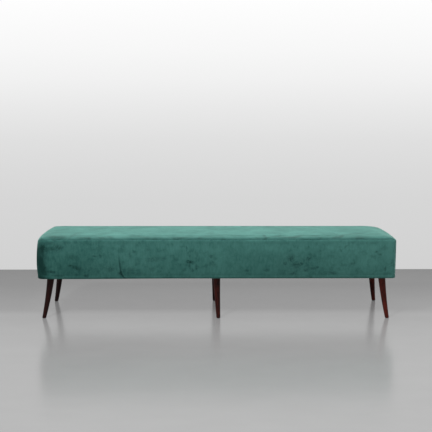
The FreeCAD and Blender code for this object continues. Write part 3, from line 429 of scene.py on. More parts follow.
def pile_of_top(finish, place, x, y, z):
    """The same for the top, which is brushed in long strokes, with its own painted light and shade."""
    flat = finish.flat(x, y)
    drifted = finish.drift(flat, 6, 0.10)
    clouds = finish.noise(drifted, 6, 3, 0.6)
    strokes = finish.noise(finish.scaled(drifted, (0.6, 1, 1)), 22, 4, 0.65)
    lift = clouds.ramp(0.34, 0.66) * 0.44 + strokes.ramp(0.32, 0.68) * 0.44 + x.ramp(0.88, 0.97) * 0.10
    darkening = strokes.ramp(0.47, 0.30) * 0.44 + pressed_pile(finish, flat, TOP_MARKS)
    # Painted shade: darker over the front roll, and along the seam.
    darkening = darkening + y.ramp(-0.130, -0.206) * 0.44 + z.ramp(0.4580, 0.4562) * 0.22
    # Painted light on the steep part of the front roll, strongest towards the left.
    painted_roll_light = z.ramp(0.4565, 0.4585) * y.ramp(-0.203, -0.214)
    darkening = darkening - painted_roll_light * x.ramp(0.5, 0.2, 0.30, 0.62)
    # Painted shade: darker towards the rear edge, where the top rolls away.
    return lift, darkening + y.ramp(0.09, 0.215) * 0.22, strokes


def pile_of_side(finish, place, x, y, z):
    """The same for the rear and the ends."""
    drifted = finish.drift(place, 9, 0.06)
    clouds = finish.noise(drifted, 5, 2, 0.5)
    strokes = finish.noise(finish.scaled(drifted, (1, 1, 0.4)), 40, 4, 0.62)
    lift = 0.2 + clouds.ramp(0.36, 0.64) * 0.30 + strokes.ramp(0.32, 0.68) * 0.40
    return lift, strokes.ramp(0.44, 0.32) * 0.30, strokes


def velvet(name, colours, pile_of):
    """Cut-pile velvet: brushed clouds, short strokes, pressed marks and the pile's own grain, with painted
    light and shade.
    """
    finish = Finish(name)
    place = finish.place()
    x, y, z = finish.parts(place)
    lift, darkening, strokes = pile_of(finish, place, x, y, z)
    grain = finish.noise(place, 800, 2, 0.6)
    away = finish.away(place, TURNED_PLACE, TURNED_SIZE)
    # Painted shade at the left front corner, where the sheen is also left out.
    painted_corner_shade = (away + (strokes - 0.5) * 0.5).ramp(1.0, 0.15) * z.ramp(0.460, 0.390)
    shade = finish.mix(lift + (grain - 0.5) * 0.2, colours.velvet_mid, colours.velvet_light)
    shade = finish.mix((darkening + painted_corner_shade * 0.8).at_most(0.95), shade, colours.velvet_deep)
    pile = {
        "Base_Color": shade, "Roughness": 0.88 - lift * 0.08, "Specular_IOR_Level": 0.18,
        "Normal": finish.bump(strokes * 0.6 + grain * 0.4, 0.0009, 0.5),
    }
    flat = finish.principled(**pile)
    sheen = (*colours.velvet_sheen, 1)
    upright = finish.principled(**pile, Sheen_Weight=0.85, Sheen_Roughness=0.38, Sheen_Tint=sheen)
    return finish.close(finish.blend(painted_corner_shade, upright, flat))


def leg_wood(colours):
    """Turned mahogany under gloss lacquer, its grain along the leg."""
    finish = Finish("leg_wood")
    place = finish.place()
    along = finish.scaled(finish.drift(place, 14, 0.012), (1, 1, 0.07))
    grain = finish.noise(along, 260, 4, 0.6)
    bands = finish.noise(finish.scaled(place, (1, 1, 0.16)), 42, 2, 0.5)
    x, y, z = finish.parts(place)
    tone = grain.ramp(0.32, 0.72) * 0.55 + bands.ramp(0.35, 0.65) * 0.45
    # Painted light and shade: the legs get redder towards the right, where the light falls on them, and
    # darker at their tops, in the shade under the seat.
    tone = tone * x.ramp(-0.95, 0.95, 0.25, 1.30) * z.ramp(0.231, 0.214, 0.25, 1)
    return finish.surface(
        Base_Color=finish.mix(tone, colours.mahogany_dark, colours.mahogany_red),
        Roughness=0.36 + grain * 0.16,
        Specular_IOR_Level=0.16,
        Coat_Weight=0.07,
        Coat_Roughness=0.14,
        Normal=finish.bump(grain, 0.0002, 0.35),
    )


def frame_wood(name, colours, along):
    """Planed, unfinished beech with fine flecks."""
    finish = Finish(name)
    place = finish.scaled(finish.drift(finish.place(), 5, 0.012), along)
    grain = finish.noise(place, 130, 5, 0.62, 0.4)
    flecks = finish.noise(place, 640, 2, 0.5).ramp(0.60, 0.72)
    tone = grain.ramp(0.30, 0.74) + flecks * 0.35
    return finish.surface(
        Base_Color=finish.mix(tone.at_most(1), colours.beech, colours.beech_grain),
        Roughness=0.58 + grain * 0.16,
        Normal=finish.bump(grain, 0.0004, 0.5),
    )


def woven_jute(name, colours, pitch):
    """A plain weave of jute: two sets of threads that pass over each other."""
    finish = Finish(name)
    x, y, z = finish.parts(finish.drift(finish.place(), 60, 0.0012))
    along, across = x.wave(pitch), y.wave(pitch)
    over = (along * across).ramp(-0.9, 0.9)
    hairs = finish.noise(finish.place(), 1500, 3, 0.7)
    height = abs(along) * over + abs(across) * (1 - over)
    # Painted shade: the weave is darker where its threads lie low, in its gaps.
    tone = height * 0.75 + hairs * 0.35
    return finish.surface(
        Base_Color=finish.mix(tone.at_most(1), colours.jute_dark, colours.jute),
        Roughness=0.86 + hairs * 0.1,
        Sheen_Weight=0.2,
        Normal=finish.bump(height + hairs * 0.3, 0.0006, 0.8),
    )


def open_foam(colours):
    """Open-cell foam, pitted and slightly yellowed."""
    finish = Finish("foam")
    place = finish.place()
    values = {"Vector": place, "Scale": 620.0}
    cells = finish.node("ShaderNodeTexVoronoi", values=values, output="Distance")
    clouds = finish.noise(place, 5, 3, 0.5)
    yellowed = [tone * share for tone, share in zip(colours.foam, (0.86, 0.78, 0.6))]
    tone = finish.mix(clouds.ramp(0.35, 0.7), colours.foam, yellowed)
    return finish.surface(
        # Painted shade: the pits are darker, in the yellowed tone.
        Base_Color=finish.mix(cells.ramp(0.5, 0.1) * 0.35, tone, yellowed),
        Roughness=0.9 + cells * 0.05,
        Normal=finish.bump(cells, 0.0007, 0.7),
    )


def fibre_wadding(colours):
    """Loose white fibre."""
    finish = Finish("wadding")
    place = finish.drift(finish.place(), 18, 0.04)
    fibres = finish.noise(finish.scaled(place, (1, 3, 3)), 210, 5, 0.7, 1.4)
    clumps = finish.noise(place, 14, 3, 0.5)
    shaded = tinted(colours.wadding, 0.72)
    return finish.surface(
        Base_Color=finish.mix(fibres * 0.6 + clumps * 0.3, shaded, colours.wadding),
        Roughness=0.88 + fibres * 0.1,
        Sheen_Weight=0.35,
        Normal=finish.bump(fibres + clumps, 0.002, 0.7),
    )


def plated_steel(name, tint, roughness, spots):
    """Zinc plate or blued steel with faint cloudy spots."""
    finish = Finish(name)
    place = finish.place()
    clouds = finish.noise(place, 240, 3, 0.6)
    scratches = finish.noise(finish.scaled(place, (1, 1, 6)), 900, 2, 0.5)
    return finish.surface(
        Base_Color=finish.mix(clouds.ramp(0.45, 0.7), tint, tinted(tint, spots)),
        Metallic=1.0,
        Roughness=roughness + clouds * 0.2,
        Normal=finish.bump(scratches, 0.00008, 0.4),
    )


def moulded_nylon(colours):
    """Dark nylon with paler scuffs."""
    finish = Finish("glide_plastic")
    place = finish.place()
    grain = finish.noise(place, 1400, 2, 0.5)
    scuffs = finish.noise(finish.drift(place, 80, 0.01), 160, 4, 0.6).ramp(0.5, 0.75)
    return finish.surface(
        Base_Color=finish.mix(scuffs * 0.6, colours.nylon, tinted(colours.nylon, 2.4)),
        Roughness=0.42 + scuffs * 0.22,
        Normal=finish.bump(grain, 0.0001, 0.5),
    )


def dust_cloth(colours):
    """Thin black felted cloth with a printed grid of dimples."""
    finish = Finish("dust_cloth")
    place = finish.place()
    fibres = finish.noise(finish.drift(place, 90, 0.01), 700, 4, 0.7, 1.0)
    x, y, z = finish.parts(place)
    dimples = (x.wave(DIMPLE_PITCH) * y.wave(DIMPLE_PITCH)).ramp(0.2, 0.9)
    amount = fibres.ramp(0.45, 0.75) * (1 - dimples * 0.6)
    return finish.surface(
        Base_Color=finish.mix(amount, colours.dust_cloth, tinted(colours.dust_cloth, 3.2)),
        Roughness=0.82 + fibres * 0.12,
        Sheen_Weight=0.15,
        Normal=finish.bump(fibres - dimples * 0.8, 0.0004, 0.7),
    )


# Meshes


def configure(item, **values):
    """Set several attributes of one item."""
    for name, value in values.items():
        setattr(item, name, value)


def add_piece(name, points, faces, material, node):
    """Make a mesh piece that rides on the bench and stands for a node."""
    mesh = bpy.data.meshes.new(name)
    mesh.from_pydata([tuple(point) for point in points], [], faces)
    mesh.validate()
    mesh.polygons.foreach_set("use_smooth", [True] * len(mesh.polygons))
    mesh.materials.append(material)
    piece = bpy.data.objects.new(name, mesh)
    bpy.context.scene.collection.objects.link(piece)
    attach(piece, "root")
    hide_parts(node)
    return piece


def thicken(piece, thickness):
    """Give a cloth its thickness, inwards."""
    modifier = piece.modifiers.new("thickness", "SOLIDIFY")
    configure(modifier, thickness=thickness, offset=-1, use_rim=True)


def limited(value):
    """The value, or 0 or 1 where it lies beyond them."""
    return min(max(value, 0.0), 1.0)


def rounded(value):
    """A soft quarter round from 0 to 1."""
    return (1 - (1 - limited(value)) ** 2) ** 0.8


def at_end(cover, name, x):
    """A setting that the left and the right end each have."""
    return getattr(cover, ("left_" if x < 0 else "right_") + name)


def dip(cover, point):
    """How far the top of the seat sinks towards its rear corners."""
    near_top = limited((point.z - SEAM_HEIGHT + DIP_HEIGHT) / DIP_HEIGHT)
    rearward = max((point.y + HALF_DEPTH) / (2 * HALF_DEPTH), 0.0)
    away = (HALF_LENGTH - abs(point.x)) / cover.dip_reach
    depth = at_end(cover, "rear_dip", point.x)
    return depth * near_top ** 2 * rearward ** 1.3 * math.exp(-away * away / 2)


def round_rectangle(low, size, columns, rows):
    """Evenly spaced points round a rectangle, its front side first."""
    low_x, low_y = low
    high_x, high_y = low_x + size[0], low_y + size[1]
    points = [Vector((low_x + size[0] * step / columns, low_y)) for step in range(columns)]
    points += [Vector((high_x, low_y + size[1] * step / rows)) for step in range(rows)]
    points += [Vector((high_x - size[0] * step / columns, high_y)) for step in range(columns)]
    return points + [Vector((low_x, high_y - size[1] * step / rows)) for step in range(rows)]


# Points along and across the cover and round half a corner of it, and rings up its sides. The coarse
# form has half of the points, and holds the simulation.
COLUMNS, ROWS, TURNS = 216, 48, 4
COARSE_SIDE, FINE_SIDE = 12, 24

# How far from the seam the rings on top lie, and from the side those underneath. The rolled hem has
# rings at shares of its quarter round. The sides have extra ones, below the seam and above the hem.
MARGIN = 0.042
COARSE_TOP = (0.014, 0.028, MARGIN)
FINE_TOP = (0.001, 0.0022, 0.0038, 0.0062, 0.0095, 0.014, 0.021, 0.028, 0.035, MARGIN)
UNDER_INSETS = (0.030, 0.022, 0.016)
HEM_SHARES = (0.0, 0.33, 0.67)
NEAR_SEAM = (0.001, 0.0022, 0.0038, 0.0062, 0.0120)
NEAR_HEM = (0.0025, 0.0050, 0.0075, 0.0135, 0.0165)

# Where the sides are fullest, as a share of the height from hem to seam
LEFT_FULLEST, RIGHT_FULLEST, SIDE_FULLEST = 0.35, 0.86, 0.52

# Heights of the bead and the fold above the hem, their width, and the fold's depth to the bead's
BEAD_HEIGHT, FOLD_HEIGHT, BEAD_WIDTH, FOLD_SHARE = 0.004, 0.0145, 0.004, 1.2

# Where the hem starts to sag, over which length it does, and how far up and inwards that is felt
SAG_START, SAG_LENGTH, SAG_HEIGHT, SAG_INSET = -0.25, 0.55, 0.03, 0.016

# How far down the sunk corners reach, how long the bowed ends are, and the turned-under strip's
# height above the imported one
DIP_HEIGHT, BOW_LENGTH, STRIP_LIFT = 0.09, 0.08, 0.0004

# The least radius of a corner and of the rolled hem
LEAST_RADIUS, LEAST_ROLL = 0.003, 0.001

# How softly the rolls of the top blend, and how near the seam they start. The rear rise fades to the
# right, and the top slopes up a little further in from the rolled ends.
BLEND, ROLL_START = 0.0008, 0.0015
REAR_FADE, END_SLOPE = 0.55, 0.02

# The stuffing's slow waves: how many to a metre, their share and their shift. They push away from a
# line along the bench at the heart's height, at the ends straight out, and less near the seam.
WAVES = ((7.0, 0.65, Vector((0, 0, 0))), (17.0, 0.35, Vector((3, 1, 7))))
HEART_HEIGHT, ENDS_FROM = 0.35, 0.985
CALM_STRIP, CALM_SHARE = 0.012, 0.4


class SeatShape:
    """The outside of the stuffed seat, as rings of points from the raw edge of the velvet
    underneath, up the sides and over the top seam, to a regular grid on top."""

    def __init__(self, cover, columns, rows, turns, depth=0.0):
        self.cover = cover
        self.columns = columns
        self.rows = rows
        self.turns = turns
        self.depth = depth
        self.around = 2 * (columns + rows)
        self.hem = UNDERSIDE + cover.hem_roll
        self.seam = SEAM_HEIGHT + cover.seam_lift
        left, right, side = self.side_draws(self.seam)
        self.left, self.right, self.side = HALF_LENGTH - left, HALF_LENGTH - right, HALF_DEPTH - side

    def outline(self, left_draw, right_draw, side_draw):
        """Points round the seat, whose corners are round. Each side runs from the middle of one
        corner to the middle of the next, and the first side is the front."""
        corners = []
        for x, y in ((-1, -1), (1, -1), (1, 1), (-1, 1)):
            draw = left_draw if x < 0 else right_draw
            radius = max(at_end(self.cover, "corner", x) - draw, LEAST_RADIUS)
            centre = Vector((x * (HALF_LENGTH - draw - radius), y * (HALF_DEPTH - side_draw - radius)))
            corners.append((centre, radius))
        points = []
        for index, start in enumerate(corners):
            end = corners[(index + 1) % 4]
            count = self.rows if index % 2 else self.columns
            facing = math.radians(270 + 90 * index)
            for step in range(count):
                if step < self.turns:
                    points.append(self.on_corner(*start, facing, step / self.turns - 1))
                elif step <= count - self.turns:
                    share = (step - self.turns) / (count - 2 * self.turns)
                    high = self.on_corner(*end, facing, 0)
                    points.append(self.on_corner(*start, facing, 0).lerp(high, share))
                else:
                    turn = (step - count + self.turns) / self.turns
                    points.append(self.on_corner(*end, facing, turn))
        return points

    def on_corner(self, centre, radius, facing, turn):
        angle = facing + turn * math.radians(45)
        return centre + Vector((math.cos(angle), math.sin(angle))) * radius

    def bulge(self, share, fullest, low_draw, high_draw):
        """How far a side draws in, from its hem at 0 to its seam at 1."""
        if share < fullest:
            return low_draw * (1 - share / fullest) ** 2
        return high_draw * ((share - fullest) / (1 - fullest)) ** 2

    def side_draws(self, height):
        """How far the left end, the right end and the long sides draw in at a height."""
        cover = self.cover
        above = height - self.hem
        below = self.seam - height
        share = limited(above / (self.seam - self.hem))
        shoulder = cover.shoulder_draw * max(0.0, 1 - below / cover.shoulder_width) ** 2
        bead = cover.bead * math.exp(-((above - BEAD_HEIGHT) / BEAD_WIDTH) ** 2)
        fold = cover.bead * FOLD_SHARE * math.exp(-((above - FOLD_HEIGHT) / BEAD_WIDTH) ** 2)
        extra = shoulder + self.furrow(below) - bead + fold + self.depth
        left = self.bulge(share, LEFT_FULLEST, cover.left_hem_draw, cover.left_seam_draw)
        right = self.bulge(share, RIGHT_FULLEST, cover.right_hem_draw, cover.right_seam_draw)
        side = self.bulge(share, SIDE_FULLEST, cover.hem_draw, cover.seam_draw)
        return left - cover.left_swell + extra, right + extra, side + extra

    def furrow(self, away):
        """How deep the stitches pull the cloth in, next to the seam."""
        return self.cover.stitch_depth * max(0.0, 1 - away / self.cover.stitch_width)

    def bow(self, x, y):
        """How far an end bows out beyond a straight line, seen from above."""
        return at_end(self.cover, "bow", x) * max(0.0, 1 - (y / HALF_DEPTH) ** 2)

    def sagging(self, point, share=1.0):
        """The point on the lower edge, lowered where the hem sags."""
        left = limited((SAG_START - point.x) / SAG_LENGTH)
        low = max(0.0, 1 - (point.z - UNDERSIDE) / SAG_HEIGHT)
        return point - Vector((0, 0, self.cover.hem_sag * left * left * (3 - 2 * left) * low * share))

    def ring(self, draws, height):
        """Points round the seat at a height, its ends bowed out."""
        points = []
        for point in self.outline(*draws):
            bow = self.bow(point.x, point.y) if abs(point.x) > HALF_LENGTH - BOW_LENGTH else 0.0
            points.append(Vector((point.x + math.copysign(bow, point.x), point.y, height)))
        return points

    def heights(self, steps):
        """Heights of the rings up the sides, the seam's last."""
        return [self.hem + (self.seam - self.hem) * step / steps for step in range(steps + 1)]

    def side_ring(self, height):
        """A ring on the sides."""
        ring = self.ring(self.side_draws(height), height)
        return [self.sagging(self.uneven(point)) for point in ring]

    def hem_ring(self, share):
        """A ring on the rounded lower edge: 0 faces down and 1 faces out."""
        radius = max(self.cover.hem_roll - self.depth, LEAST_ROLL)
        angle = math.radians(90) * share
        inward = radius * (1 - math.sin(angle))
        draws = [draw + inward for draw in self.side_draws(self.hem)]
        return [self.sagging(point) for point in self.ring(draws, self.hem - radius * math.cos(angle))]

    def under_ring(self, inset):
        """A ring on the flat strip that is turned under the frame."""
        ring = self.ring((inset, inset, inset), UNDERSIDE + STRIP_LIFT + self.depth)
        share = max(0.0, 1 - (inset - self.cover.hem_roll) / SAG_INSET)
        return [self.sagging(point, share) for point in ring]

    def top_ring(self, inset):
        """A ring on the top, between the seam and the rim of the regular grid."""
        low = (MARGIN - self.left, MARGIN - self.side)
        size = (self.left + self.right - 2 * MARGIN, 2 * (self.side - MARGIN))
        inner = round_rectangle(low, size, self.columns, self.rows)
        seam = self.side_ring(self.seam)
        flat = [start.xy.lerp(end, inset / MARGIN) for start, end in zip(seam, inner)]
        return [self.on_top(point.x, point.y) for point in flat]

    def on_top(self, x, y):
        """A point on the crowned top, whose edges roll down to the seam."""
        cover = self.cover
        from_end = min(x + self.left, self.right - x) + self.bow(x, y)
        from_edge = self.side - abs(y)
        radius = max(at_end(cover, "corner", x) - cover.shoulder_draw - cover.stitch_depth, LEAST_RADIUS)
        from_rim = min(from_end, from_edge)
        if from_end < radius and from_edge < radius:
            from_rim = radius - math.hypot(radius - from_end, radius - from_edge)
        from_rim = max(from_rim, 0.0)
        rear = max(y / self.side, 0) * (1 - REAR_FADE * max(x, 0))
        edge_rise = cover.edge_rise + cover.rear_rise * rear
        crown = CROWN_HEIGHT + cover.crown_lift - self.seam - edge_rise
        rises = [
            edge_rise * rounded(distance / cover.edge_roll)
            + crown * (1 - (1 - min(distance / self.side, 1.0)) ** 2)
            for distance in (from_edge, from_rim)
        ]
        roll = at_end(cover, "end_roll", x)
        rises.append(cover.end_rise * rounded(from_end / roll) + max(from_end - roll, 0) * END_SLOPE)
        rise = -BLEND * math.log(sum(math.exp(-value / BLEND) for value in rises))
        rise = (rise + BLEND * math.log(2)) * min(from_rim / ROLL_START, 1.0)
        return self.uneven(Vector((x, y, self.seam - self.furrow(from_rim) + rise - self.depth)))

    def uneven(self, point):
        """The point moved a little by slow waves, as hand stuffing leaves them."""
        size = self.cover.unevenness
        wave = sum(noise.noise(point * count + shift) * share for count, share, shift in WAVES)
        outward = Vector((0, point.y, point.z - HEART_HEIGHT))
        if abs(point.x) > ENDS_FROM:
            outward = Vector((point.x, 0, 0))
        if abs(point.z - self.seam) < CALM_STRIP:
            size *= CALM_SHARE
        return point + outward.normalized() * wave * size - Vector((0, 0, dip(self.cover, point)))

    def inner_grid(self):
        """The points of the regular grid on top that its rim doesn't hold, row by row."""
        points = []
        for row in range(1, self.rows):
            y = (2 * row / self.rows - 1) * (self.side - MARGIN)
            for column in range(1, self.columns):
                x = MARGIN - self.left + (self.left + self.right - 2 * MARGIN) * column / self.columns
                points.append(self.on_top(x, y))
        return points

    def grid_index(self, column, row, rim):
        """The number of a grid point, in the rim ring or inside it."""
        columns, rows = self.columns, self.rows
        if row == 0:
            return rim + column
        if column == columns:
            return rim + columns + row
        if row == rows:
            return rim + 2 * columns + rows - column
        if column == 0:
            return rim + self.around - row
        return rim + self.around + (row - 1) * (columns - 1) + column - 1

    def grid_faces(self, rim):
        """Faces of the regular grid on top."""
        faces = []
        for row in range(self.rows):
            for column in range(self.columns):
                corners = ((column, row), (column + 1, row), (column + 1, row + 1), (column, row + 1))
                faces.append(tuple(self.grid_index(*corner, rim) for corner in corners))
        return faces

    def bands(self, low, high, first=0, last=None):
        """Faces between the rings from low to high, over a stretch of their points."""
        last = self.around if last is None else last
        faces = []
        for start in range(low * self.around, high * self.around, self.around):
            for index in range(first, last):
                here = start + index
                following = start + (index + 1) % self.around
                faces.append((here, following, following + self.around, here + self.around))
        return faces


def doubled(values, closed):
    """The values with the mean of each two neighbours between them."""
    following = numpy.roll(values, -1, axis=0)
    mixed = numpy.stack([values, (values + following) / 2], axis=1).reshape(-1, *values.shape[1:])
    return mixed if closed else mixed[:-1]


def simulate_cover(cover):
    """Let the cloth swell and settle over the stuffing, held at its seam and hem. Gives how far each
    point moves: for the rings from the hem to the top grid, and for the grid."""
    shape = SeatShape(cover, COLUMNS // 2, ROWS // 2, TURNS // 2)
    around, columns, rows = shape.around, shape.columns, shape.rows
    count = COARSE_SIDE + 1 + len(COARSE_TOP)
    rings = [shape.under_ring(cover.raw_edge), shape.hem_ring(0.0)]
    rings += [shape.side_ring(height) for height in shape.heights(COARSE_SIDE)]
    rings += [shape.top_ring(inset) for inset in COARSE_TOP]
    start = [point for ring in rings for point in ring] + shape.inner_grid()
    rim = (len(rings) - 1) * around
    faces = [tuple(range(around))[::-1]] + shape.bands(0, len(rings) - 1) + shape.grid_faces(rim)
    seam_ring = 2 + COARSE_SIDE
    held = list(range(3 * around)) + list(range(seam_ring * around, (seam_ring + 1) * around))
    corners = (0, columns, columns + rows, 2 * columns + rows)
    stiff = [ring * around + corner for ring in range(3, seam_ring) for corner in corners]
    moved = settle_cloth(cover, start, faces, held, stiff)
    sides = moved[2 * around:rim + around].reshape(count, around, 3)
    order = [
        [shape.grid_index(column, row, rim) for column in range(columns + 1)]
        for row in range(rows + 1)
    ]
    sides = doubled(sides.transpose(1, 0, 2), True).transpose(1, 0, 2)
    grid = doubled(doubled(moved[order], False).transpose(1, 0, 2), False).transpose(1, 0, 2)
    return sides, grid


# How firmly the corners of the cover are held, and the stiffness of its cloth
CORNER_HOLD = 0.6
CLOTH = {
    "quality": 5, "mass": 0.25, "tension_stiffness": 30, "compression_stiffness": 30,
    "shear_stiffness": 10, "bending_stiffness": 2, "use_pressure": True,
}


def settle_cloth(cover, start, faces, held, stiff):
    """Run the cloth simulation and give how far each point moved, within the limits of the stuffing."""
    places = [tuple(point) for point in start]
    mesh = bpy.data.meshes.new("cloth")
    mesh.from_pydata(places, [], faces)
    cloth = bpy.data.objects.new("cloth", mesh)
    scene = bpy.context.scene
    scene.collection.objects.link(cloth)
    group = cloth.vertex_groups.new(name="held")
    group.add(held, 1.0, "REPLACE")
    group.add(stiff, CORNER_HOLD, "REPLACE")
    modifier = cloth.modifiers.new("cloth", "CLOTH")
    configure(
        modifier.settings, **CLOTH, uniform_pressure_force=cover.pressure, shrink_min=-cover.slack,
        vertex_group_mass="held",
    )
    modifier.settings.effector_weights.gravity = 0
    configure(modifier.collision_settings, use_collision=False, use_self_collision=False)
    configure(modifier.point_cache, frame_start=1, frame_end=cover.frames)
    for step in range(1, cover.frames + 1):
        scene.frame_set(step)
    settled = cloth.evaluated_get(bpy.context.evaluated_depsgraph_get())
    flat = numpy.empty(len(start) * 3)
    settled.data.vertices.foreach_get("co", flat)
    moved = flat.reshape(-1, 3) - numpy.array(places)
    normals = numpy.array([tuple(vertex.normal) for vertex in mesh.vertices])
    outward = (moved * normals).sum(axis=1)
    sideways = moved - normals * outward[:, None]
    size = numpy.linalg.norm(sideways, axis=1, keepdims=True)
    sideways *= numpy.minimum(1, cover.swell / numpy.maximum(size, 1e-9))
    limit = numpy.where(outward > 0, cover.swell, cover.sink)
    outward = limit * numpy.tanh(outward / limit)
    scene.frame_set(1)
    bpy.data.objects.remove(cloth)
    bpy.data.meshes.remove(mesh)
    return normals * outward[:, None] + sideways


def cover_surface(shape):
    """All rings of the cover with the cloth's settling, fine ones near the seam and hem."""
    moved, grid_moved = simulate_cover(shape.cover)
    rings = [shape.under_ring(inset) for inset in (shape.cover.raw_edge, *UNDER_INSETS)]
    rings += [shape.hem_ring(share) for share in HEM_SHARES]
    fine = set(shape.heights(FINE_SIDE)) | {shape.hem + step for step in NEAR_HEM}
    for height in sorted(fine | {shape.seam - step for step in NEAR_SEAM}):
        place = (height - shape.hem) / (shape.seam - shape.hem) * COARSE_SIDE
        low = min(int(place + 1e-6), COARSE_SIDE - 1)
        rings.append(shifted(shape.side_ring(height), moved[low], moved[low + 1], place - low))
    seam = len(rings) - 1
    coarse = (0.0,) + COARSE_TOP
    for inset in FINE_TOP:
        low = max(index for index, value in enumerate(coarse[:-1]) if value < inset)
        share = (inset - coarse[low]) / (coarse[low + 1] - coarse[low])
        first, second = moved[COARSE_SIDE + low], moved[COARSE_SIDE + low + 1]
        rings.append(shifted(shape.top_ring(inset), first, second, share))
    inner = grid_moved[1:-1, 1:-1].reshape(-1, 3)
    grid = [point + Vector(shift) for point, shift in zip(shape.inner_grid(), inner)]
    return rings, seam, grid


def shifted(ring, low, high, share):
    """A ring moved as the two coarse rings next to it moved."""
    return [
        point + Vector(before * (1 - share) + after * share)
        for point, before, after in zip(ring, low, high)
    ]


def creased(point):
    """The point, pressed in where the upright crease runs down the front."""
    if point.y > FRONT_Y or point.z > CREASE_TOP:
        return point
    away = (point.x - crease_line(point.z, lambda value: max(value, 0))) / CREASE_WIDTH
    depth = CREASE_DEPTH * math.exp(-away ** 2) * limited((CREASE_TOP - point.z) / CREASE_FADE)
    return point + Vector((0, depth, 0))


def sew_panel(name, points, faces, material, cover):
    """One sewn panel of the cover, cut out of the whole surface."""
    used = sorted({index for face in faces for index in face})
    numbers = {old: new for new, old in enumerate(used)}
    faces = [tuple(numbers[index] for index in face) for face in faces]
    points = [points[index] for index in used]
    piece = add_piece("velvet_" + name.replace("cover_", ""), points, faces, material, name)
    thicken(piece, cover.cloth_thickness)


def make_cover(cover, colours):
    """The five velvet panels, sewn round the settled form of the seat."""
    shape = SeatShape(cover, COLUMNS, ROWS, TURNS)
    rings, seam, grid = cover_surface(shape)
    points = [creased(point) for ring in rings for point in ring] + grid
    front = velvet("velvet_front", colours, pile_of_front)
    top = velvet("velvet_top", colours, pile_of_top)
    plain = velvet("velvet_side", colours, pile_of_side)
    ends = (0, COLUMNS, COLUMNS + ROWS, 2 * COLUMNS + ROWS, shape.around)
    for name, first, last in zip(SIDE_PANELS, ends, ends[1:]):
        material = front if name == "cover_front" else plain
        sew_panel(name, points, shape.bands(0, seam, first, last), material, cover)
    faces = shape.bands(seam, len(rings) - 1) + shape.grid_faces((len(rings) - 1) * shape.around)
    sew_panel("cover_top", points, faces, top, cover)


# Points along and across the wadding and round half a corner of it, rings up its sides, and how far
# from the seam its rings on top lie. It lies under the velvet by its depth, and its highest ring on
# the sides is lowered.
WADDING_POINTS, WADDING_SIDE = (72, 18, 2), 10
WADDING_TOP = (0.003, 0.009, 0.018, 0.030, MARGIN)
WADDING_DEPTH, WADDING_THICKNESS, WADDING_DROP = 0.0042, 0.0022, 0.008


def make_wadding(cover, colours):
    """One cap of wadding under the velvet, open below."""
    shape = SeatShape(cover, *WADDING_POINTS, depth=WADDING_DEPTH)
    *heights, highest = shape.heights(WADDING_SIDE)
    rings = [shape.side_ring(height) for height in (*heights, highest - WADDING_DROP)]
    rings += [shape.top_ring(inset) for inset in WADDING_TOP]
    points = [point for ring in rings for point in ring] + shape.inner_grid()
    faces = shape.bands(0, len(rings) - 1) + shape.grid_faces((len(rings) - 1) * shape.around)
    piece = add_piece("fibre_wadding", points, faces, fibre_wadding(colours), "wadding_wrap")
    thicken(piece, WADDING_THICKNESS)


# Round corners of the foam: how far inside the cover's corner their centre lies, and their radius
FOAM_CORNER_INSET, FOAM_CORNER_RADIUS = 0.031, 0.017

# The foam's slow waves, how many to a metre and how high. Its edges are pulled in by a share of their
# rounding, and by a high power of the distance from the middle.
FOAM_WAVES, FOAM_UNEVENNESS = 9, 0.0006
EDGE_PULL, EDGE_POWER = 0.3, 8


def within_corners(point):
    """The point, pulled in where it would stick out at a rounded corner of the cover."""
    corner = Vector((HALF_LENGTH - FOAM_CORNER_INSET, HALF_DEPTH - FOAM_CORNER_INSET))
    out = Vector((abs(point.x) - corner.x, abs(point.y) - corner.y))
    if min(out) <= 0 or out.length <= FOAM_CORNER_RADIUS:
        return point
    out = corner + out.normalized() * FOAM_CORNER_RADIUS
    return Vector((math.copysign(out.x, point.x), math.copysign(out.y, point.y), point.z))


def soft_block(name, node, material, cover, step, crown=0.0, rounding=0.002):
    """A block of foam that fills a node's box: rounded edges and a crowned, slightly uneven top."""
    low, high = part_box(node)
    size = high - low
    middle = (high + low) / 2
    form = bmesh.new()
    bmesh.ops.create_cube(form, size=1)
    for axis in range(3):
        count = max(2, round(size[axis] / step[axis]))
        normal = Vector([float(other == axis) for other in range(3)])
        for cut in range(1, count):
            whole = form.verts[:] + form.edges[:] + form.faces[:]
            plane = normal * (cut / count - 0.5)
            bmesh.ops.bisect_plane(form, geom=whole, plane_co=plane, plane_no=normal)
    for vertex in form.verts:
        share = vertex.co * 2
        point = Vector((middle[axis] + share[axis] * size[axis] / 2 for axis in range(3)))
        if share.z > 0:
            point.z -= crown * (share.x ** 2 + share.y ** 2) / 2 * share.z
        wave = noise.noise(point * FOAM_WAVES) * FOAM_UNEVENNESS
        inward = Vector((-share[axis] * abs(share[axis]) ** EDGE_POWER for axis in range(3)))
        point = within_corners(point + inward * (rounding * EDGE_PULL + abs(wave)))
        vertex.co = point - Vector((0, 0, dip(cover, point)))
    form.verts.index_update()
    points = [vertex.co.copy() for vertex in form.verts]
    faces = [tuple(vertex.index for vertex in face.verts) for face in form.faces]
    form.free()
    piece = add_piece(name, points, faces, material, node)
    edge = piece.modifiers.new("rounding", "BEVEL")
    configure(edge, width=rounding, segments=3, limit_method="ANGLE", angle_limit=math.radians(50))


# Points round a hole in a sheet, and how near it other points come, as a share of their spacing
HOLE_TURNS, HOLE_SPACE = 32, 0.35

# The share of a sheet's width and length that hangs free, and its ripples along and across it
FREE_WIDTH, FREE_LENGTH = 0.92, 0.97
RIPPLES_ALONG, RIPPLES_ACROSS, RIPPLE_SHARE = 6, 14, 0.25


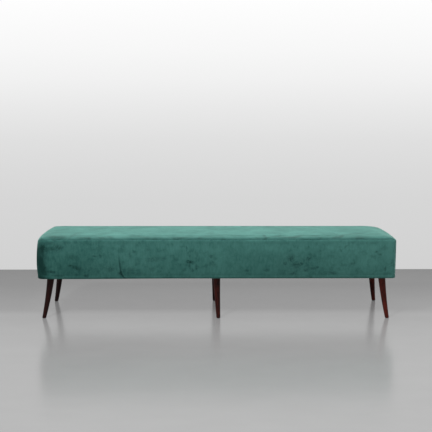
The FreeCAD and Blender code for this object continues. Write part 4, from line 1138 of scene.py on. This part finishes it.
def cloth_sheet(name, node, material, spacing, thickness, sag=0.0, lift=0.0, holes=()):
    """A thin sheet over a node's box, cut round any holes, sagging a little between its rims."""
    low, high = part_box(node)
    size = high - low
    columns, rows = round(size.x / spacing), round(size.y / spacing)
    points, edges = [], []
    loops = [round_rectangle(low.xy, size.xy, columns, rows)]
    for centre, radius in holes:
        turns = [math.tau * step / HOLE_TURNS for step in range(HOLE_TURNS)]
        loops.append([centre + Vector((math.cos(turn), math.sin(turn))) * radius for turn in turns])
    for loop in loops:
        first = len(points)
        points += loop
        edges += [(first + index, first + (index + 1) % len(loop)) for index in range(len(loop))]
    for column in range(1, columns):
        for row in range(1, rows):
            place = Vector((low.x + size.x * column / columns, low.y + size.y * row / rows))
            if all((place - centre).length > radius + spacing * HOLE_SPACE for centre, radius in holes):
                points.append(place)
    flat, _, faces, _, _, _ = geometry.delaunay_2d_cdt(points, edges, [], 1, 1e-7)
    kept = []
    for face in faces:
        middle = sum((flat[index] for index in face), Vector((0, 0))) / len(face)
        if all((middle - centre).length > radius * 0.98 for centre, radius in holes):
            kept.append(tuple(face))
    solid = []
    for place in flat:
        along = 2 * (place.x - low.x) / size.x - 1
        across = 2 * (place.y - low.y) / size.y - 1
        free = max(0.0, 1 - (across / FREE_WIDTH) ** 2) * max(0.0, 1 - (along / FREE_LENGTH) ** 8)
        ripple = noise.noise(Vector((place.x * RIPPLES_ALONG, place.y * RIPPLES_ACROSS, 0.3))) * RIPPLE_SHARE
        solid.append(Vector((place.x, place.y, high.z + lift - sag * free * (1 + ripple))))
    piece = add_piece(name, solid, kept, material, node)
    thicken(piece, thickness)
    return piece, (size.y, size.x), sum(polygon.area for polygon in piece.data.polygons)


# How much wider the dust cover's holes are than the legs, on each side
LEG_HOLE_CLEARANCE = 0.001


def leg_holes():
    """The middle and radius of the dust cover's hole round each leg."""
    holes = []
    for name, node in frame["nodes"].items():
        if name.endswith("_leg"):
            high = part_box(name)[1]
            top = [vertex.co for vertex in node.data.vertices if vertex.co.z > high.z - 1e-4]
            xs = [point.x for point in top]
            ys = [point.y for point in top]
            centre = Vector(((min(xs) + max(xs)) / 2, (min(ys) + max(ys)) / 2))
            holes.append((centre, (max(xs) - min(xs)) / 2 + LEG_HOLE_CLEARANCE))
    return holes


def dress_nodes(slot, material, picked=lambda name: True):
    """Give the picked nodes of a slot their material."""
    for name, node in frame["nodes"].items():
        if SLOTS[name] == slot and picked(name):
            for material_slot in node.material_slots:
                material_slot.material = material
            if not node.material_slots:
                node.data.materials.append(material)


# The steps of the build


class CoverBuilder(bpy.types.Operator):
    """Sew the five velvet panels over the stuffing and let them settle"""

    bl_idname = "bench.velvet_cover"
    bl_label = "Velvet Cover"

    def execute(self, context):
        make_cover(context.scene.bench_cover, context.scene.bench_finish)
        return {"FINISHED"}


class StuffingBuilder(bpy.types.Operator):
    """Make the wadding, the seat foam and the four side paddings"""

    bl_idname = "bench.stuffing"
    bl_label = "Wadding and Foam"

    def execute(self, context):
        cover = context.scene.bench_cover
        colours = context.scene.bench_finish
        make_wadding(cover, colours)
        foam = open_foam(colours)
        soft_block(
            "foam_slab", "seat_foam", foam, cover, step=(0.05, 0.04, 0.03), crown=0.0074, rounding=0.006
        )
        for side in ("front", "rear"):
            soft_block(f"foam_{side}", f"{side}_padding", foam, cover, step=(0.03, 0.008, 0.03))
        for side in ("left_end", "right_end"):
            soft_block(f"foam_{side}", f"{side}_padding", foam, cover, step=(0.008, 0.03, 0.03))
        return {"FINISHED"}


class SpringingBuilder(bpy.types.Operator):
    """Lay the hessian over the webbing and give the straps their weave"""

    bl_idname = "bench.springing"
    bl_label = "Hessian and Webbing"

    def execute(self, context):
        colours = context.scene.bench_finish
        hessian = woven_jute("hessian", colours, HESSIAN_PITCH)
        piece, flat, area = cloth_sheet(
            "hessian_cloth", "hessian_sheet", hessian, spacing=0.03, thickness=0.0008
        )
        dress_nodes("webbing", woven_jute("webbing", colours, WEBBING_PITCH))
        return {"FINISHED"}


class DustCoverBuilder(bpy.types.Operator):
    """Stretch the black dust cover under the seat, cut round the legs"""

    bl_idname = "bench.dust_cover"
    bl_label = "Dust Cover"

    def execute(self, context):
        cloth = dust_cloth(context.scene.bench_finish)
        piece, flat, area = cloth_sheet(
            "dust_cloth", "dust_cover", cloth, spacing=0.02, thickness=0.0006, sag=0.004,
            lift=-0.0001, holes=leg_holes(),
        )
        return {"FINISHED"}


class FrameBuilder(bpy.types.Operator):
    """Give the rails, cross members, blocks and dowels their beech"""

    bl_idname = "bench.beech_frame"
    bl_label = "Beech Frame"

    def execute(self, context):
        colours = context.scene.bench_finish
        lengthwise = ("front_rail", "rear_rail")
        along_x = frame_wood("beech_long", colours, (0.06, 1, 1))
        along_y = frame_wood("beech_cross", colours, (1, 0.06, 1))
        dress_nodes("frame_wood", along_y)
        dress_nodes("frame_wood", along_x, lambda name: name in lengthwise or "block" in name)
        dress_nodes("dowel_wood", frame_wood("beech_dowel", colours, (1, 0.10, 1)))
        return {"FINISHED"}


class LegBuilder(bpy.types.Operator):
    """Stain and lacquer the legs and finish the glides under them"""

    bl_idname = "bench.legs"
    bl_label = "Legs and Glides"

    def execute(self, context):
        colours = context.scene.bench_finish
        dress_nodes("leg_wood", leg_wood(colours))
        dress_nodes("glide_plastic", moulded_nylon(colours))
        return {"FINISHED"}


class FixingBuilder(bpy.types.Operator):
    """Plate the bolts, nuts, screws, nails and staples, and blue the tacks"""

    bl_idname = "bench.fixings"
    bl_label = "Fixings"

    def execute(self, context):
        colours = context.scene.bench_finish
        dress_nodes("zinc_steel", plated_steel("zinc_steel", colours.zinc, 0.28, 0.8))
        dress_nodes("blued_steel", plated_steel("blued_steel", colours.blued, 0.36, 0.6))
        return {"FINISHED"}


# Brightness of the floor and the wall as seen, without what they mirror: the floor's by the distance
# behind the bench's middle, the wall's by the height. For the camera they glow with it, as painted light;
# the floor's steep drop between -0.12 and -0.02 is the painted shadow edge of the seat.
FLOOR_LEVELS = (
    (-1.80, 0.300), (-1.27, 0.282), (-0.82, 0.261), (-0.45, 0.230), (-0.25, 0.206), (-0.12, 0.202),
    (-0.02, 0.159), (0.17, 0.139), (0.35, 0.108), (0.64, 0.066), (1.14, 0.032),
)
WALL_LEVELS = (
    (0.00, 0.640), (0.50, 0.672), (0.71, 0.701), (0.92, 0.742), (1.13, 0.807), (1.34, 0.879),
    (1.54, 0.930), (1.88, 0.991),
)

# The wall as it lights the bench
WALL_PAINT = (0.7, 0.7, 0.7, 1)


def by_distance(finish, distance, levels):
    """Grey levels along a distance."""
    low, high = levels[0][0], levels[-1][0]
    stops = [((place - low) / (high - low), level) for place, level in levels]
    share = (distance - low) / (high - low)
    return finish.node("ShaderNodeValToRGB", {"stops": stops}, {"Fac": share}, "Color")


def looked_at(finish):
    """1 where the camera sees a surface, directly, mirrored or through another."""
    camera, glossy, through = (
        finish.node("ShaderNodeLightPath", output=f"Is {kind} Ray")
        for kind in ("Camera", "Glossy", "Transmission")
    )
    return camera.at_least(glossy).at_least(through)


def clear_behind(finish, shader):
    """Close the material so that it is clear when seen from behind."""
    clear = finish.node("ShaderNodeBsdfTransparent")
    back = finish.node("ShaderNodeNewGeometry", output="Backfacing")
    return finish.close(finish.blend(back, shader, clear))


def floor_finish(studio):
    """A sealed, slightly glossy floor that gets darker towards the wall."""
    finish = Finish("floor")
    place = finish.place()
    x, y, z = finish.parts(place)
    seen = looked_at(finish)
    clouds = finish.noise(place, 1.3, 3, 0.5).ramp(0.3, 0.7)
    body = finish.mix(clouds, studio.floor_body, tinted(studio.floor_body, 0.9))
    patches = finish.noise(finish.scaled(place, (1, 1.8, 1)), 4.5, 3, 0.6)
    # Painted light and shade: the floor's glow grows towards the right, and is darker at the left, beside
    # the bench and behind its front.
    painted_left_shade = 1 - x.ramp(-0.98, -1.22) * y.ramp(-0.15, 0.10) * 0.15
    amount = x.ramp(-1.5, 1.5, 0.945, 1.05) * patches.ramp(0.3, 0.7, 0.985, 1.015) * painted_left_shade
    values = {0: by_distance(finish, y, FLOOR_LEVELS), "Scale": amount}
    glow = finish.node("ShaderNodeVectorMath", {"operation": "SCALE"}, values)
    return clear_behind(finish, finish.principled(
        Base_Color=finish.mix(seen, studio.floor_bounce, body),
        Roughness=studio.floor_gloss,
        Specular_IOR_Level=0.47,
        Emission_Color=finish.mix(seen, (0, 0, 0), glow),
        Emission_Strength=1.0,
    ))


def wall_finish():
    """A pale wall that brightens upwards."""
    finish = Finish("wall")
    x, y, z = finish.parts(finish.place())
    glow = finish.node("ShaderNodeEmission", values={"Color": by_distance(finish, z, WALL_LEVELS)})
    paint = finish.node("ShaderNodeBsdfDiffuse", values={"Color": WALL_PAINT})
    return clear_behind(finish, finish.blend(looked_at(finish), paint, glow))


def stage_plane(name, corners, material):
    """A plane that isn't part of the bench."""
    mesh = bpy.data.meshes.new(name)
    mesh.from_pydata(corners, [], [(0, 1, 2, 3)])
    mesh.materials.append(material)
    plane = bpy.data.objects.new(name, mesh)
    bpy.context.scene.collection.objects.link(plane)
    return plane


def soft_lamp(name, place, target, size, power):
    """A lamp that faces a target."""
    lamp = bpy.data.lights.new(name, "AREA")
    configure(lamp, shape="RECTANGLE", size=size[0], size_y=size[1], energy=power)
    holder = bpy.data.objects.new(name, lamp)
    holder.location = place
    holder.rotation_euler = (Vector(target) - Vector(place)).to_track_quat("-Z", "Y").to_euler()
    bpy.context.scene.collection.objects.link(holder)
    return holder


# How far the floor and the wall reach, and where the lamps above the bench point
FAR, WALL_TOP = 9.0, 5
SEAT_MIDDLE = (0, 0, 0.3)


class StudioBuilder(bpy.types.Operator):
    """Set up the floor, the wall, the lamps, the surround and the camera"""

    bl_idname = "bench.studio"
    bl_label = "Studio"

    def execute(self, context):
        scene = context.scene
        studio = scene.bench_studio
        wall = studio.wall_distance
        corners = [(-FAR, -FAR, 0), (FAR, -FAR, 0), (FAR, FAR, 0), (-FAR, FAR, 0)]
        floor = stage_plane("floor", corners, floor_finish(studio))
        corners = [(-FAR, wall, 0), (FAR, wall, 0), (FAR, wall, WALL_TOP), (-FAR, wall, WALL_TOP)]
        stage_plane("wall", corners, wall_finish())
        soft_lamp("overhead_lamp", (0.0, -0.25, 2.7), SEAT_MIDDLE, (3.6, 1.6), studio.overhead)
        soft_lamp("front_lamp", (-1.7, -3.0, 3.9), SEAT_MIDDLE, (1.1, 1.1), studio.front)
        lamp = soft_lamp("floor_lamp", (-2.2, -3.4, 3.7), (0, 0, 0), (0.3, 0.3), studio.floor_lamp)
        lit = bpy.data.collections.new("lit_by_floor_lamp")
        lit.objects.link(floor)
        lamp.light_linking.receiver_collection = lit
        scene.world = bpy.data.worlds.new("surround")
        scene.world.use_nodes = True
        inputs = scene.world.node_tree.nodes["Background"].inputs
        inputs["Color"].default_value = (1, 1, 1, 1)
        inputs["Strength"].default_value = studio.surround
        camera = bpy.data.cameras.new("camera")
        configure(camera, lens=studio.lens, sensor_width=36)
        holder = bpy.data.objects.new("camera", camera)
        holder.location = studio.camera_place
        holder.rotation_euler = (math.radians(90) - studio.camera_pitch, 0, -studio.camera_yaw)
        scene.collection.objects.link(holder)
        scene.camera = holder
        scene.view_settings.view_transform = "Standard"
        return {"FINISHED"}


class BenchPanel(bpy.types.Panel):
    """Steps and settings of the bench"""

    bl_idname = "VIEW3D_PT_bench"
    bl_label = "Upholstered Bench"
    bl_space_type = "VIEW_3D"
    bl_region_type = "UI"
    bl_category = "Bench"

    def draw(self, context):
        for step in STEPS:
            self.layout.operator(step.bl_idname)
        for title in SETTINGS:
            group = getattr(context.scene, title)
            box = self.layout.box()
            for name in group.__annotations__:
                box.prop(group, name)


STEPS = (
    CoverBuilder, StuffingBuilder, SpringingBuilder, DustCoverBuilder, FrameBuilder, LegBuilder,
    FixingBuilder, StudioBuilder,
)
SETTINGS = {
    "bench_cover": CoverSettings,
    "bench_finish": FinishSettings,
    "bench_studio": StudioSettings,
}
CLASSES = (*SETTINGS.values(), *STEPS, BenchPanel)


def register():
    for item in CLASSES:
        bpy.utils.register_class(item)
    for title, group in SETTINGS.items():
        setattr(bpy.types.Scene, title, PointerProperty(type=group))


def unregister():
    for title in SETTINGS:
        delattr(bpy.types.Scene, title)
    for item in reversed(CLASSES):
        bpy.utils.unregister_class(item)


def main():
    register()
    bpy.ops.bench.velvet_cover()
    bpy.ops.bench.stuffing()
    bpy.ops.bench.springing()
    bpy.ops.bench.dust_cover()
    bpy.ops.bench.beech_frame()
    bpy.ops.bench.legs()
    bpy.ops.bench.fixings()
    bpy.ops.bench.studio()


if __name__ == "__main__":
    main()
